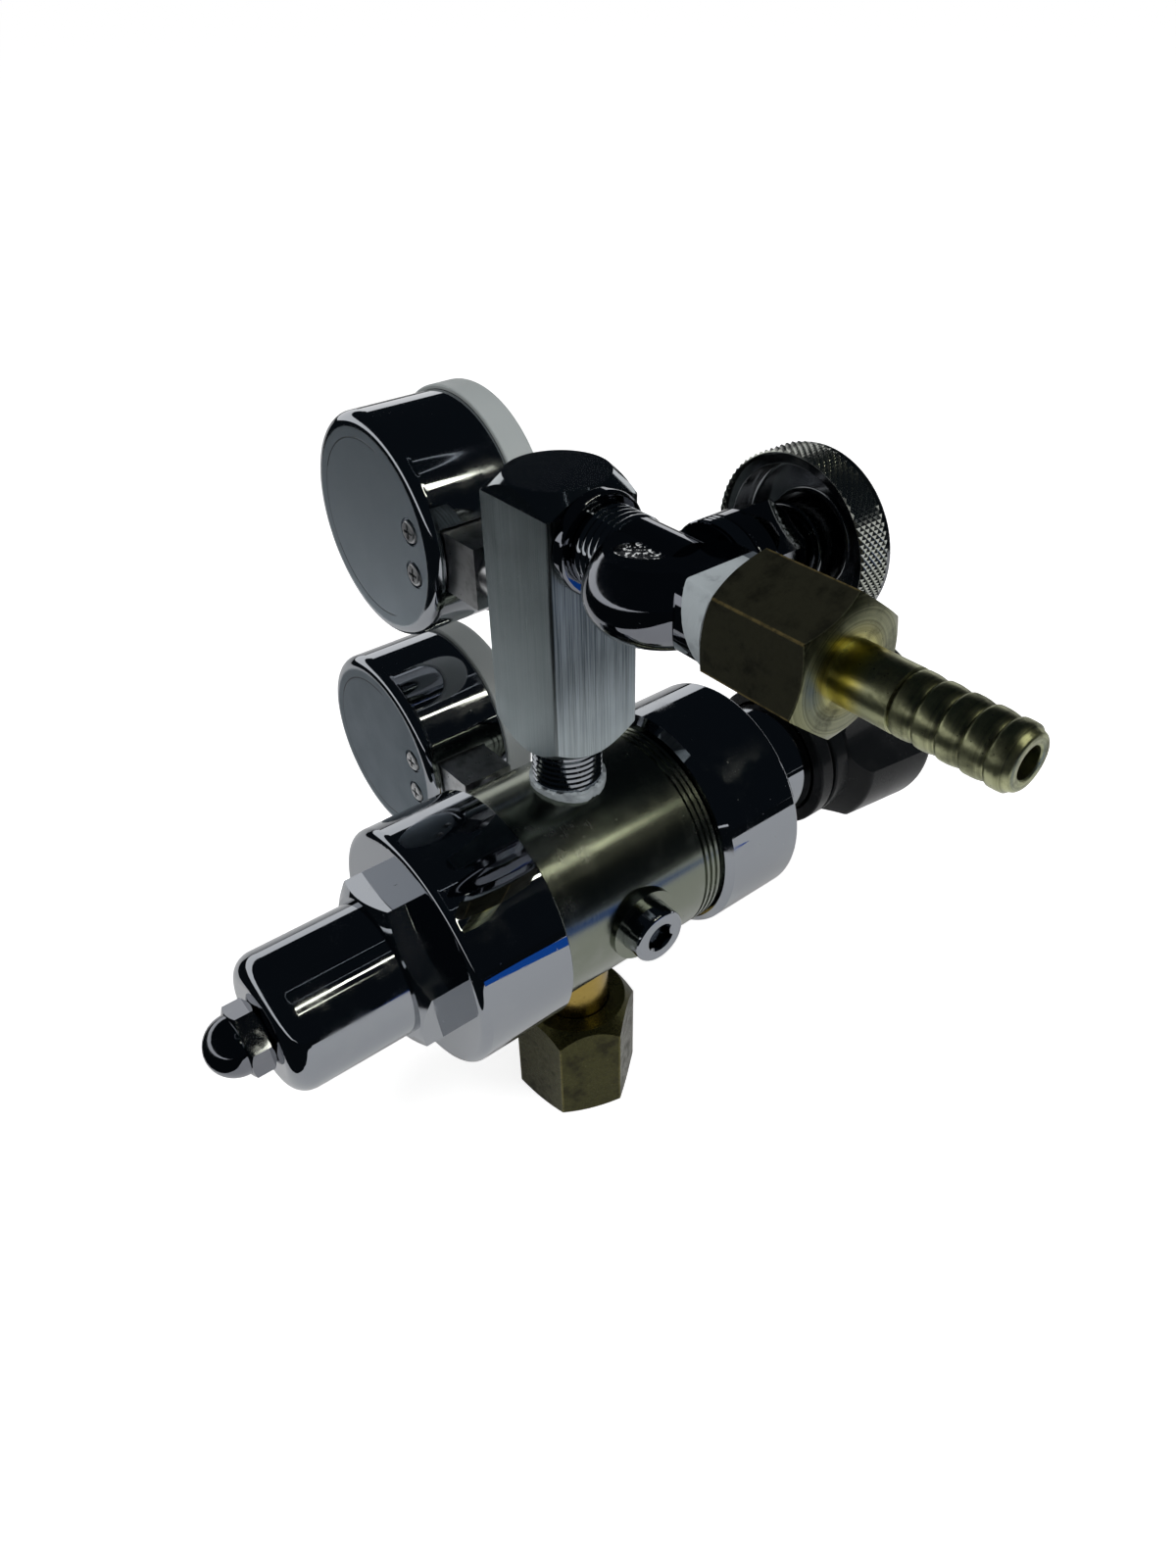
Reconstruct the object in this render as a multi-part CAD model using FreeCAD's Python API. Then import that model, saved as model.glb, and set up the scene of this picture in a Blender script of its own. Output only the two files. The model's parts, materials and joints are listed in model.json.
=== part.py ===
"""Two-stage gas pressure regulator with two gauges, a needle valve and a hose barb.

Millimetres, +Z up. The origin is the centre of the inlet nut's mouth. The two bonnets lie
along X, the preset one at -X and the adjusting one at +X. Both gauges stand on the +Y side.
The hose barb points to -Y, and the inlet nut opens to -Z.
"""

import FreeCAD, Part
import math
import os

from FreeCAD import Base

Vec = Base.Vector

# Heights and places of the main axes
AXIS_Z = 78.0                  # height of the regulator's own axis above the inlet nut's mouth
VALVE_RISE = 88.8              # needle valve axis above the regulator axis
VALVE_Z = AXIS_Z + VALVE_RISE
STEM_Y = -36.8                 # axis of the needle valve's stem

# Running and seating clearances
SEAT = 0.3                     # piece at rest on or beside its seat
RUNNING = 0.08                 # shaft in a hole that turns or slides on it
THREAD = 0.05                  # screwed joint that stays tight

# Main body
BODY_R = 26.7
BODY_LEFT = -21.4              # edge of the preset cap
BODY_RIGHT = 25.4              # edge of the adjusting cap
SPIGOT_R = 25.0                # threaded ends inside the caps
SPIGOT_LENGTH = 13.0
CHAMBER_R = 19.0
CHAMBER_DEPTH = 10.0
GROOVE_DEPTH = 0.5
GROOVE_WIDTH = 0.8
GROOVE_PITCH = 1.6
GROOVE_COUNT = 3
UNDERCUT_R = 25.6
UNDERCUT_WIDTH = 0.9

# Screwed bonnets
CAP_R = 29.0
CAP_LENGTH = 24.0
CAP_WALL = 3.5
TOWER_R = 16.0
TOWER_BORE_R = 12.0
TOWER_END_WALL = 6.0
PRESET_TOWER_END = 60.6        # from the cap's mouth edge to the tower's end
ADJUST_TOWER_END = 46.6
FLANGE_LENGTH = 8.6
FLANGE_FLATS = 35.5

# Diaphragm stack and valve of each stage
DIAPHRAGM_THICK = 0.6
SLIP_RING_THICK = 2.0
SLIP_RING_CLEAR = 0.4
PLATE_R = 17.5
PLATE_THICK = 2.6
PILOT_R = 5.0
PILOT_HEIGHT = 2.0
HUB_R = 3.0
HUB_LENGTH = 3.9
NOZZLE_R = 5.95
NOZZLE_HEAD_R = 8.0
NOZZLE_HEAD_THICK = 3.0
NOZZLE_LENGTH = 8.0
NOZZLE_LIP_R = 3.0
NOZZLE_LIP = 1.2
ORIFICE_R = 1.9
PIN_R = 1.5
POPPET_R = 3.6
POPPET_LENGTH = 3.5
POPPET_TRAVEL = 0.7
POCKET_R = 4.6
PRESET_POCKET_END = 23.5       # from the cap's edge, inwards
ADJUST_POCKET_END = 20.0

# Springs
COIL_R = 9.0
PRESET_WIRE_R = 1.3
PRESET_TURNS = 6.0
ADJUST_WIRE_R = 1.2
ADJUST_TURNS = 4.5
SMALL_COIL_R = 2.6
SMALL_WIRE_R = 0.35
SMALL_TURNS = 4.0
WIRE_SIDES = 8

# Spring buttons, screws and the acorn nut
BUTTON_CLEAR = 0.4
BUTTON_THICK = 3.0
DIMPLE_R = 2.3
DIMPLE_DEPTH = 1.3
TIP_R = 2.0
TIP_LENGTH = 2.0
PRESET_BUTTON = 43.5           # spring side of the button, from the cap's edge
ADJUST_BUTTON = 35.6
PRESET_SCREW_R = 4.0
ADJUST_SCREW_R = 5.0
PRESET_SCREW_END = 68.0
ACORN_FLATS = 14.3
ACORN_HEX = 5.4
ACORN_DOME_R = 6.8

# Adjusting knob
KNOB_START = 69.0
KNOB_TRAVEL = 5.0
RING_R = 19.6
RING_LENGTH = 4.6
RING_GAP = 1.0
RING_GAP_R = 18.2
GRIP_R = 27.0
GRIP_NEAR_R = 24.6
GRIP_LENGTH = 28.5
LOBES = 4
FLUTE_R = 14.2
FLUTE_CENTRE = 33.7
FLUTE_ANGLE = 154.0
KNOB_CAVITY_CLEAR = 0.5
KNOB_CAP_R = 11.5
KNOB_CAP_THICK = 3.0
KNOB_SCREW_REACH = 22.0

# Socket-head plug in the front port
PLUG_R = 6.7
PLUG_PROUD = 6.3
PLUG_SOCKET_FLATS = 6.35
PLUG_SOCKET_DEPTH = 5.5
PLUG_DEPTH = 9.0
BOSS_R = 9.1
BOSS_PROUD = 1.0

# Passages
PASSAGE_R = 2.0
BRANCH_R = 1.2

# Gauge block and its nipple
BLOCK_SIDE = 22.2
BLOCK_HEIGHT = 60.4
BLOCK_RISE = 38.9
BLOCK_BOTTOM = AXIS_Z + BLOCK_RISE
BLOCK_TOP = BLOCK_BOTTOM + BLOCK_HEIGHT
BLOCK_DISC_R = 10.65
BLOCK_CONE = 4.3
BLOCK_BROKEN_EDGE = 0.4
NIPPLE_R = 8.0
NIPPLE_BITE = 10.0
NIPPLE_BORE_R = 3.5

# Gauges
CASE_R = 26.7
CASE_WALL = 1.0
CASE_BACK = 10.5               # back of the case behind the stem's axis
CASE_BACK_WALL = 1.6
CASE_FRONT = 17.5
CASE_EDGE = 3.0
BEZEL_R = CASE_R + 1.1
BEZEL_SKIRT = 5.7
BEZEL_LIP_R = CASE_R - 2.5
BEZEL_LIP = 2.6
WINDOW_THICK = 1.5
DIAL_THICK = 0.6
DIAL_PLACE = 10.0
POINTER_PLACE = 12.0
POINTER_THICK = 0.8
POINTER_LENGTH = CASE_R - 7.7
POINTER_TAIL = 6.5
ARBOR_R = 0.9
PINION_R = 2.2
SECTOR_THICK = 1.6
SECTOR_HALF_ANGLE = 38.0
SECTOR_START = 22.5            # turned back from the middle of its travel at rest
SECTOR_PIN_R = 1.2
TUBE_RING_R = CASE_R - 9.7
TUBE_R = 1.6
TUBE_ANGLE = 250.0
STEM_SIDE = 14.3
STEM_SQUARE_LENGTH = 11.3
STEM_SQUARE_END = CASE_R + STEM_SQUARE_LENGTH
STEM_THREAD_R = 6.7
STEM_BITE = 9.0
STEM_BORE_R = 1.5
FOOT_END = CASE_R - 4.1         # inside the case, measured from its centre
FOOT_START = FOOT_END - 8.1
FOOT_HALF = 8.0
SECTOR_PIVOT = FOOT_START - 3.5
TUBE_START = math.degrees(math.asin((FOOT_HALF + 1.0) / TUBE_RING_R))
GAUGE_SCREW_REACH = CASE_R - 9.3
GAUGE_SCREW_SPREAD = 5.2
GAUGE_SCREW_HEAD_R = 2.7
GAUGE_SCREW_R = 1.5
TOP_STEM_NECK = 9.9
TOP_GAUGE_Y = BLOCK_SIDE / 2 + STEM_SQUARE_END + TOP_STEM_NECK
TOP_GAUGE_RISE = 70.4
TOP_GAUGE_Z = AXIS_Z + TOP_GAUGE_RISE
BACK_STEM_NECK = 7.9
BACK_GAUGE_Y = BODY_R + STEM_SQUARE_END + BACK_STEM_NECK
MOVEMENT_NEAR = 0.6            # places of the two movement plates along X
MOVEMENT_FAR = 6.4
MOVEMENT_THICK = 1.0
MOVEMENT_WIDTH = 10.0
MOVEMENT_PAST = 6.0            # how far the plates reach past the pointer's axis, and into the foot
SCREW_HOLE_DEPTH = 9.0

# Needle valve
COLLAR_R = 10.4
COLLAR_THICK = 2.9
INLET_NECK_R = 6.8
THREADED_NECK_R = 8.2
NECK_SADDLE_R = 9.9
BARREL_FRONT = 9.0
BULB_X = 3.3                   # centre of the ellipsoid that the left side is part of
BULB_Y = -32.9
BULB_R = 14.8
BULB_LONG = 1.42
BULB_TALL = 0.8
BULB_END = 3.5
BULB_SIDE = 0.4
BULB_BEHIND = -29.3            # the bulb stops here behind the stem's neck
OUTLET_R = 10.3
OUTLET_EDGE = 0.6
OUTLET_START = STEM_Y - 5.0
NECK_START = -2.0
SEAT_DEPTH = 5.5
DRAIN_X = 0.5
VALVE_FLAT = 7.2
FLAT_END = 5.2
OVAL_LONG = 5.2
OVAL_SHORT = 3.4
OVAL_DEPTH = 0.4
OVAL_X = -6.1
OVAL_Y = -31.9
OVAL_TURN = -46.0
CHAMBER_BORE_R = 4.2
SEAT_HOLE_R = 1.8
SEAT_PLACE = -1.5
BONNET_NECK_R = 10.4
BONNET_SCREW_R = 6.8
BONNET_SCREW_REACH = 4.0
SPOT_FACE_MARGIN = 3.2
BONNET_HEX_START = 12.0
BONNET_HEX_END = 20.5
BONNET_FLATS = 19.05
BONNET_COLLAR_R = 8.6
BONNET_END = 21.8
GLAND_R = 6.3
GLAND_END = 24.5
SPINDLE_R = 3.2
SPINDLE_START = 5.3
NEEDLE_R = 2.9
WHEEL_R = 17.5
WHEEL_RECESS_R = 15.2
WHEEL_NEAR = 26.0
WHEEL_WIDTH = 7.4
WHEEL_WEB = 2.2
WHEEL_HUB_R = 9.2
WHEEL_NUT_R = 4.2
WHEEL_NUT_THICK = 2.2

# Hose barb
BARB_FLATS = 22.2
BARB_HEX_ANGLE = 82.5
BARB_HEX_START = -51.6
BARB_HEX_END = -73.5
OUTLET_NECK_END = -48.9
OUTLET_BITE = 11.0
SHANK_R = 5.45
SHANK_LENGTH = 11.0
RIDGE_COUNT = 4
RIDGE_PITCH = 4.35
RIDGE_VALLEY_R = 4.9
BARB_TIP_R = 4.5
BARB_TIP_LENGTH = 2.8
BARB_BORE_R = 2.7

# Inlet nipple and nut
INLET_R = 8.9
INLET_BITE = 12.0
INLET_BORE_R = 2.6
INLET_FLANGE_R = 9.95
INLET_FLANGE_THICK = 3.0
NUT_FLATS = 28.6
NUT_HEIGHT = 31.7
NUT_THREAD_R = 10.3
NUT_THREAD_LENGTH = 12.0
NUT_RELIEF_R = 11.0
NUT_SHOULDER = 17.5            # above the mouth
NUT_ANGLE = 37.3
NUT_CHAMFER_R = 14.9
FILTER_R = 3.35
FILTER_LENGTH = 7.0


def corner_radius(flats):
    """Distance from a hexagon's centre to its corners."""
    return flats / 2 / math.cos(math.pi / 6)


def rounded_wire(corners):
    """Closed wire through (a, r, fillet) corners, with an arc at each corner that has a fillet."""
    points = [Vec(a, r, 0) for a, r, fillet in corners]
    edges = []
    ends = []
    count = len(corners)
    for index, corner in enumerate(corners):
        here = points[index]
        fillet = corner[2]
        if fillet <= 0:
            ends.append((here, None, here))
            continue
        back = (points[index - 1] - here).normalize()
        ahead = (points[(index + 1) % count] - here).normalize()
        half = back.getAngle(ahead) / 2
        reach = fillet / math.tan(half)
        middle = (back + ahead).normalize() * (fillet / math.sin(half) - fillet)
        ends.append((here + back * reach, here + middle, here + ahead * reach))
    for index, (start, middle, end) in enumerate(ends):
        if middle is not None:
            edges.append(Part.Arc(start, middle, end).toShape())
        following = ends[(index + 1) % count][0]
        if (following - end).Length > 1e-6:
            edges.append(Part.LineSegment(end, following).toShape())
    return Part.Wire(edges)


def full_corners(corners):
    """The corners with a fillet of 0 where none is given."""
    return [corner if len(corner) == 3 else (corner[0], corner[1], 0.0) for corner in corners]


def turned(corners):
    """Solid turned about the X axis from (place, radius, fillet) corners."""
    face = Part.Face(rounded_wire(full_corners(corners)))
    return face.revolve(Vec(0, 0, 0), Vec(1, 0, 0), 360)


def along_x(shape, y, z, mirror=False, x=0.0):
    """A turned shape on the X axis through y and z, pointing to -X when mirrored."""
    result = shape.mirror(Vec(0, 0, 0), Vec(1, 0, 0)) if mirror else shape.copy()
    result.translate(Vec(x, y, z))
    return result


def along_y(shape, x, z):
    """A turned shape stood on the Y axis through x and z."""
    result = shape.copy()
    result.rotate(Vec(0, 0, 0), Vec(0, 0, 1), 90)
    result.translate(Vec(x, 0, z))
    return result


def along_z(shape, x=0.0, y=0.0, z=0.0):
    """A turned shape stood upright."""
    result = shape.copy()
    result.rotate(Vec(0, 0, 0), Vec(0, 1, 0), -90)
    result.translate(Vec(x, y, z))
    return result


def rod(start, end, radius):
    """Round bar between two points."""
    axis = end - start
    return Part.makeCylinder(radius, axis.Length, start, axis)


def hexagon(flats, length, angle):
    """Hexagonal bar on the X axis from 0 to length, a corner at the angle from +Y to +Z."""
    radius = corner_radius(flats)
    points = []
    for index in range(7):
        turn = math.radians(angle + 60 * index)
        points.append(Vec(0, radius * math.cos(turn), radius * math.sin(turn)))
    return Part.Face(Part.makePolygon(points)).extrude(Vec(length, 0, 0))


def chamfered_hexagon(flats, start, end, angle, near=True, far=True):
    """Hexagonal bar with its corners turned off at one end or at both."""
    radius = corner_radius(flats)
    flat = flats / 2 * 0.97
    drop = (radius - flat) * math.tan(math.radians(30))
    corners = [(start, 0)]
    if near:
        corners += [(start, flat), (start + drop, radius + 0.01)]
    else:
        corners += [(start, radius + 0.01)]
    if far:
        corners += [(end - drop, radius + 0.01), (end, flat)]
    else:
        corners += [(end, radius + 0.01)]
    corners += [(end, 0)]
    bar = hexagon(flats, end - start, angle)
    bar.translate(Vec(start, 0, 0))
    return bar.common(turned(corners))


def coil(start, end, coil_r, wire_r, turns):
    """Coil spring on the X axis between two planes, of wire with WIRE_SIDES flats."""
    length = end - start - 2 * wire_r
    helix = Part.makeHelix(length / turns, length, coil_r)
    corners = []
    for number in range(WIRE_SIDES + 1):
        angle = math.radians(360 * number / WIRE_SIDES)
        corners.append(Vec(coil_r + wire_r * math.cos(angle), 0, wire_r * math.sin(angle)))
    spring = Part.Wire(helix).makePipeShell([Part.makePolygon(corners)], True, True)
    spring.rotate(Vec(0, 0, 0), Vec(0, 1, 0), 90)
    spring.translate(Vec(start + wire_r, 0, 0))
    return spring


class Stage:
    """One pressure stage, in its own places counted outwards from the cap's edge on the body."""

    def __init__(self, name, edge, mirror, tower_end, button, pocket_end, screw_r):
        self.name = name
        self.edge = edge
        self.mirror = mirror
        self.tower_end = tower_end
        self.button = button
        self.pocket_end = pocket_end
        self.screw_r = screw_r
        self.diaphragm = SPIGOT_LENGTH
        self.ring = self.diaphragm + DIAPHRAGM_THICK
        self.shoulder = self.ring + SLIP_RING_THICK
        self.plate = self.ring + SEAT
        self.plate_end = self.plate + PLATE_THICK
        self.floor = SPIGOT_LENGTH - CHAMBER_DEPTH

    def place(self, shape):
        """The shape moved from the stage's own places to the part's frame."""
        return along_x(shape, 0, AXIS_Z, self.mirror, self.edge)

    def cavity(self):
        """What is bored out of the body for this stage."""
        chamber = turned([
            (self.floor, 0), (self.floor, CHAMBER_R, 1.5),
            (SPIGOT_LENGTH + 1, CHAMBER_R), (SPIGOT_LENGTH + 1, 0)])
        bore = turned([
            (-self.pocket_end, 0), (-self.pocket_end, POCKET_R), (-NOZZLE_LENGTH, POCKET_R),
            (-NOZZLE_LENGTH, NOZZLE_R + THREAD), (self.floor + 1, NOZZLE_R + THREAD),
            (self.floor + 1, 0)])
        return self.place(chamber.fuse(bore))

    def bonnet(self, flanged):
        """Screwed bonnet: cap, tower, and a hexagonal flange between them on the preset one."""
        mouth = SEAT
        edge_round = 2.0 if flanged else 0.8
        outline = [
            (mouth, SPIGOT_R + THREAD),
            (mouth, CAP_R - (0.4 if flanged else 1.7)),
            (mouth + (0.4 if flanged else 1.7), CAP_R),
            (CAP_LENGTH, CAP_R, edge_round),
            (CAP_LENGTH, TOWER_R, 0.0 if flanged else 1.0),
            (self.tower_end, TOWER_R, 5.0 if flanged else 1.2),
            (self.tower_end, self.screw_r + (THREAD if flanged else RUNNING)),
            (self.tower_end - TOWER_END_WALL, self.screw_r + (THREAD if flanged else RUNNING)),
            (self.tower_end - TOWER_END_WALL, TOWER_BORE_R),
            (CAP_LENGTH - CAP_WALL, TOWER_BORE_R),
            (CAP_LENGTH - CAP_WALL, CHAMBER_R),
            (self.shoulder, CHAMBER_R),
            (self.shoulder, SPIGOT_R + THREAD)]
        shape = turned(outline)
        if flanged:
            flange = chamfered_hexagon(
                FLANGE_FLATS, CAP_LENGTH - 1, CAP_LENGTH + FLANGE_LENGTH, 46.0, near=False)
            core = turned([
                (CAP_LENGTH - 2, 0), (CAP_LENGTH - 2, TOWER_R - 1),
                (CAP_LENGTH + FLANGE_LENGTH + 1, TOWER_R - 1), (CAP_LENGTH + FLANGE_LENGTH + 1, 0)])
            shape = shape.fuse(flange.cut(core)).removeSplitter()
        return self.place(shape)

    def slip_ring(self):
        """Flat ring between the diaphragm and the bonnet's shoulder."""
        outer = SPIGOT_R - SLIP_RING_CLEAR
        return self.place(turned([
            (self.ring, CHAMBER_R), (self.ring, outer), (self.shoulder, outer),
            (self.shoulder, CHAMBER_R)]))

    def diaphragm_disc(self):
        """Diaphragm clamped round its edge, open at its centre for the plate's hub."""
        outer = SPIGOT_R - SLIP_RING_CLEAR
        return self.place(turned([
            (self.diaphragm, HUB_R + SEAT), (self.diaphragm, outer), (self.ring, outer),
            (self.ring, HUB_R + SEAT)]))

    def plate_disc(self):
        """Spring plate with its pilot and the hub that goes through the diaphragm."""
        return self.place(turned([
            (self.plate - HUB_LENGTH, 0), (self.plate - HUB_LENGTH, HUB_R), (self.plate, HUB_R),
            (self.plate, PLATE_R, 0.4), (self.plate_end, PLATE_R, 0.8),
            (self.plate_end, PILOT_R), (self.plate_end + PILOT_HEIGHT, PILOT_R, 0.6),
            (self.plate_end + PILOT_HEIGHT, 0)]))

    def nozzle(self):
        """Screwed seat with its orifice and raised lip."""
        head = self.floor + NOZZLE_HEAD_THICK
        return self.place(turned([
            (-NOZZLE_LENGTH - NOZZLE_LIP, ORIFICE_R),
            (-NOZZLE_LENGTH - NOZZLE_LIP, NOZZLE_LIP_R),
            (-NOZZLE_LENGTH, NOZZLE_LIP_R), (-NOZZLE_LENGTH, NOZZLE_R),
            (self.floor, NOZZLE_R), (self.floor, NOZZLE_HEAD_R), (head, NOZZLE_HEAD_R, 0.6),
            (head, ORIFICE_R)]))

    def poppet(self):
        """Poppet with the pin that the plate's hub pushes."""
        seat = -NOZZLE_LENGTH - NOZZLE_LIP - POPPET_TRAVEL - 0.1
        hub_end = self.plate - HUB_LENGTH
        return self.place(turned([
            (seat - POPPET_LENGTH - 1.5, 0), (seat - POPPET_LENGTH - 1.5, PIN_R),
            (seat - POPPET_LENGTH, PIN_R), (seat - POPPET_LENGTH, POPPET_R),
            (seat, POPPET_R, 0.5), (seat, PIN_R), (hub_end, PIN_R), (hub_end, 0)]))

    def poppet_spring(self):
        """Small spring behind the poppet."""
        seat = -NOZZLE_LENGTH - NOZZLE_LIP - POPPET_TRAVEL - 0.1
        spring = coil(
            -self.pocket_end + 0.1, seat - POPPET_LENGTH - 0.1,
            SMALL_COIL_R, SMALL_WIRE_R, SMALL_TURNS)
        return self.place(spring)

    def main_spring(self, wire_r, turns):
        """Range spring between the plate and the button."""
        spring = coil(self.plate_end + 0.1, self.button - 0.1, COIL_R, wire_r, turns)
        return self.place(spring)

    def spring_button(self):
        """Button that the screw's tip bears on."""
        outer = TOWER_BORE_R - BUTTON_CLEAR
        return self.place(turned([
            (self.button - 1.5, 0), (self.button - 1.5, PILOT_R, 0.5), (self.button, PILOT_R),
            (self.button, outer, 0.5), (self.button + BUTTON_THICK, outer, 0.5),
            (self.button + BUTTON_THICK, DIMPLE_R),
            (self.button + BUTTON_THICK - DIMPLE_DEPTH, DIMPLE_R),
            (self.button + BUTTON_THICK - DIMPLE_DEPTH, 0)]))

    def screw(self, end):
        """Screw through the tower's end, with a plain tip in the button's dimple."""
        tip = self.button + BUTTON_THICK - DIMPLE_DEPTH + SEAT
        return self.place(turned([
            (tip, 0), (tip, TIP_R, 0.4), (tip + TIP_LENGTH, TIP_R),
            (tip + TIP_LENGTH, self.screw_r, 0.5), (end, self.screw_r, 0.5), (end, 0)]))


PRESET = Stage(
    "preset", BODY_LEFT, True, PRESET_TOWER_END, PRESET_BUTTON, PRESET_POCKET_END, PRESET_SCREW_R)
ADJUST = Stage(
    "adjusting", BODY_RIGHT, False, ADJUST_TOWER_END, ADJUST_BUTTON, ADJUST_POCKET_END,
    ADJUST_SCREW_R)


def main_body():
    """Turned body with a chamber at each end, four ports and the passages between them."""
    left = BODY_LEFT - SPIGOT_LENGTH
    right = BODY_RIGHT + SPIGOT_LENGTH
    corners = [(left, 0), (left, SPIGOT_R, 0.6), (BODY_LEFT, SPIGOT_R), (BODY_LEFT, BODY_R)]
    groove = BODY_RIGHT - UNDERCUT_WIDTH - GROOVE_COUNT * GROOVE_PITCH
    for _ in range(GROOVE_COUNT):
        corners += [
            (groove, BODY_R), (groove, BODY_R - GROOVE_DEPTH),
            (groove + GROOVE_WIDTH, BODY_R - GROOVE_DEPTH), (groove + GROOVE_WIDTH, BODY_R)]
        groove += GROOVE_PITCH
    undercut = BODY_RIGHT - UNDERCUT_WIDTH
    corners += [
        (undercut, BODY_R), (undercut, UNDERCUT_R), (BODY_RIGHT, UNDERCUT_R),
        (BODY_RIGHT, SPIGOT_R), (right, SPIGOT_R, 0.6), (right, 0)]
    shape = along_x(turned(corners), 0, AXIS_Z)
    front = -BODY_R - BOSS_PROUD
    shape = shape.fuse(rod(Vec(0, -BODY_R + 6, AXIS_Z), Vec(0, front, AXIS_Z), BOSS_R))
    cuts = [PRESET.cavity(), ADJUST.cavity()]
    cuts += front_port() + back_port() + inlet_port() + outlet_port()
    cuts.append(interstage_passage())
    return shape.cut(cuts)


def front_port():
    """Plugged port on the front and its passage."""
    floor = Vec(0, -BODY_R - BOSS_PROUD + PLUG_DEPTH, AXIS_Z)
    return [
        rod(Vec(0, -BODY_R - 5, AXIS_Z), floor, PLUG_R + THREAD),
        rod(floor, Vec(0, 0, AXIS_Z), PASSAGE_R)]


def back_port():
    """Gauge port on the back and its passage."""
    floor = Vec(0, BODY_R - STEM_BITE - SEAT, AXIS_Z)
    return [
        rod(Vec(0, BODY_R + 5, AXIS_Z), floor, STEM_THREAD_R + THREAD),
        rod(floor, Vec(0, 0, AXIS_Z), PASSAGE_R)]


def inlet_port():
    """Port for the inlet nipple in the underside, and its passage to the first seat."""
    floor = Vec(0, 0, AXIS_Z - BODY_R + INLET_BITE + SEAT)
    return [
        rod(Vec(0, 0, AXIS_Z - BODY_R - 5), floor, INLET_R + THREAD),
        rod(floor, Vec(0, 0, AXIS_Z), PASSAGE_R)]


def outlet_port():
    """Port for the block's nipple, and the passage to it from the second chamber."""
    floor = AXIS_Z + BODY_R - NIPPLE_BITE - SEAT
    lane = floor - 2.5
    chamber = BODY_RIGHT + ADJUST.floor + 1
    return [
        rod(Vec(0, 0, AXIS_Z + BODY_R + 5), Vec(0, 0, floor), NIPPLE_R + THREAD),
        rod(Vec(0, 0, floor + 1), Vec(0, 0, lane), PASSAGE_R),
        rod(Vec(0, 0, lane), Vec(chamber, 0, lane), PASSAGE_R * 0.8)]


def interstage_passage():
    """Slanting passage from the first chamber to the pocket of the second seat."""
    turn = math.radians(-45)
    near = 16.0
    far = 3.0
    start = Vec(
        BODY_LEFT - PRESET.floor - 1, near * math.cos(turn), AXIS_Z + near * math.sin(turn))
    end = Vec(
        BODY_RIGHT - ADJUST_POCKET_END + 6, far * math.cos(turn), AXIS_Z + far * math.sin(turn))
    return rod(start, end, BRANCH_R)


def acorn_nut():
    """Domed cap nut on the preset screw."""
    seat = PRESET_TOWER_END
    shoulder = seat + ACORN_HEX
    hexagonal = chamfered_hexagon(ACORN_FLATS, seat, shoulder, 40.0)
    dome = turned([
        (seat + 1, 0), (seat + 1, ACORN_DOME_R), (shoulder, ACORN_DOME_R),
        (shoulder + ACORN_DOME_R, ACORN_DOME_R, ACORN_DOME_R * 0.999), (shoulder + ACORN_DOME_R, 0)])
    hole = turned([
        (seat - 1, 0), (seat - 1, PRESET_SCREW_R + THREAD),
        (PRESET_SCREW_END + SEAT, PRESET_SCREW_R + THREAD), (PRESET_SCREW_END + SEAT, 0)])
    return PRESET.place(hexagonal.fuse(dome).cut(hole).removeSplitter())


def knob_cavity_floor():
    """Bottom of the knob's cavity, clear of the tower's end when the knob is screwed in."""
    return BODY_RIGHT + ADJUST_TOWER_END + KNOB_TRAVEL + 2 * SEAT


def adjusting_knob():
    """Moulded knob: two skirt rings, a flare and a grip with deep flutes."""
    ring_end = KNOB_START + RING_LENGTH
    second = ring_end + RING_GAP
    second_end = second + RING_LENGTH
    flare_end = second_end + 4.0
    end = second_end + GRIP_LENGTH
    cavity_r = TOWER_R + KNOB_CAVITY_CLEAR
    floor = knob_cavity_floor()
    screw_end = floor + KNOB_SCREW_REACH
    bore_r = ADJUST_SCREW_R + THREAD
    outside = turned([
        (KNOB_START, 0), (KNOB_START, RING_R, 0.6), (ring_end, RING_R, 0.6),
        (ring_end, RING_GAP_R), (second, RING_GAP_R), (second, RING_R, 0.6),
        (second_end, RING_R), (flare_end, GRIP_NEAR_R, 2.0), (end, GRIP_R, 3.5), (end, 0)])
    inside = turned([
        (KNOB_START - 1, 0), (KNOB_START - 1, cavity_r), (floor, cavity_r), (floor, bore_r),
        (screw_end + SEAT, bore_r), (screw_end + SEAT, 0)])
    recess = turned([
        (end - KNOB_CAP_THICK, 0), (end - KNOB_CAP_THICK, KNOB_CAP_R + SEAT),
        (end + 1, KNOB_CAP_R + SEAT), (end + 1, 0)])
    flutes = []
    for index in range(LOBES):
        turn = math.radians(FLUTE_ANGLE + 360 / LOBES * index)
        y = FLUTE_CENTRE * math.cos(turn)
        z = FLUTE_CENTRE * math.sin(turn)
        flutes.append(rod(Vec(second_end + 0.5, y, z), Vec(end + 1, y, z), FLUTE_R))
    return along_x(outside.cut([inside, recess] + flutes), 0, AXIS_Z)


def knob_end():
    """Far end of the knob."""
    return KNOB_START + 2 * RING_LENGTH + RING_GAP + GRIP_LENGTH


def knob_cap():
    """Round cap in the knob's end."""
    end = knob_end()
    return along_x(turned([
        (end - KNOB_CAP_THICK, 0), (end - KNOB_CAP_THICK, KNOB_CAP_R),
        (end - 0.4, KNOB_CAP_R, 0.6), (end - 0.4, 0)]), 0, AXIS_Z)


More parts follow.
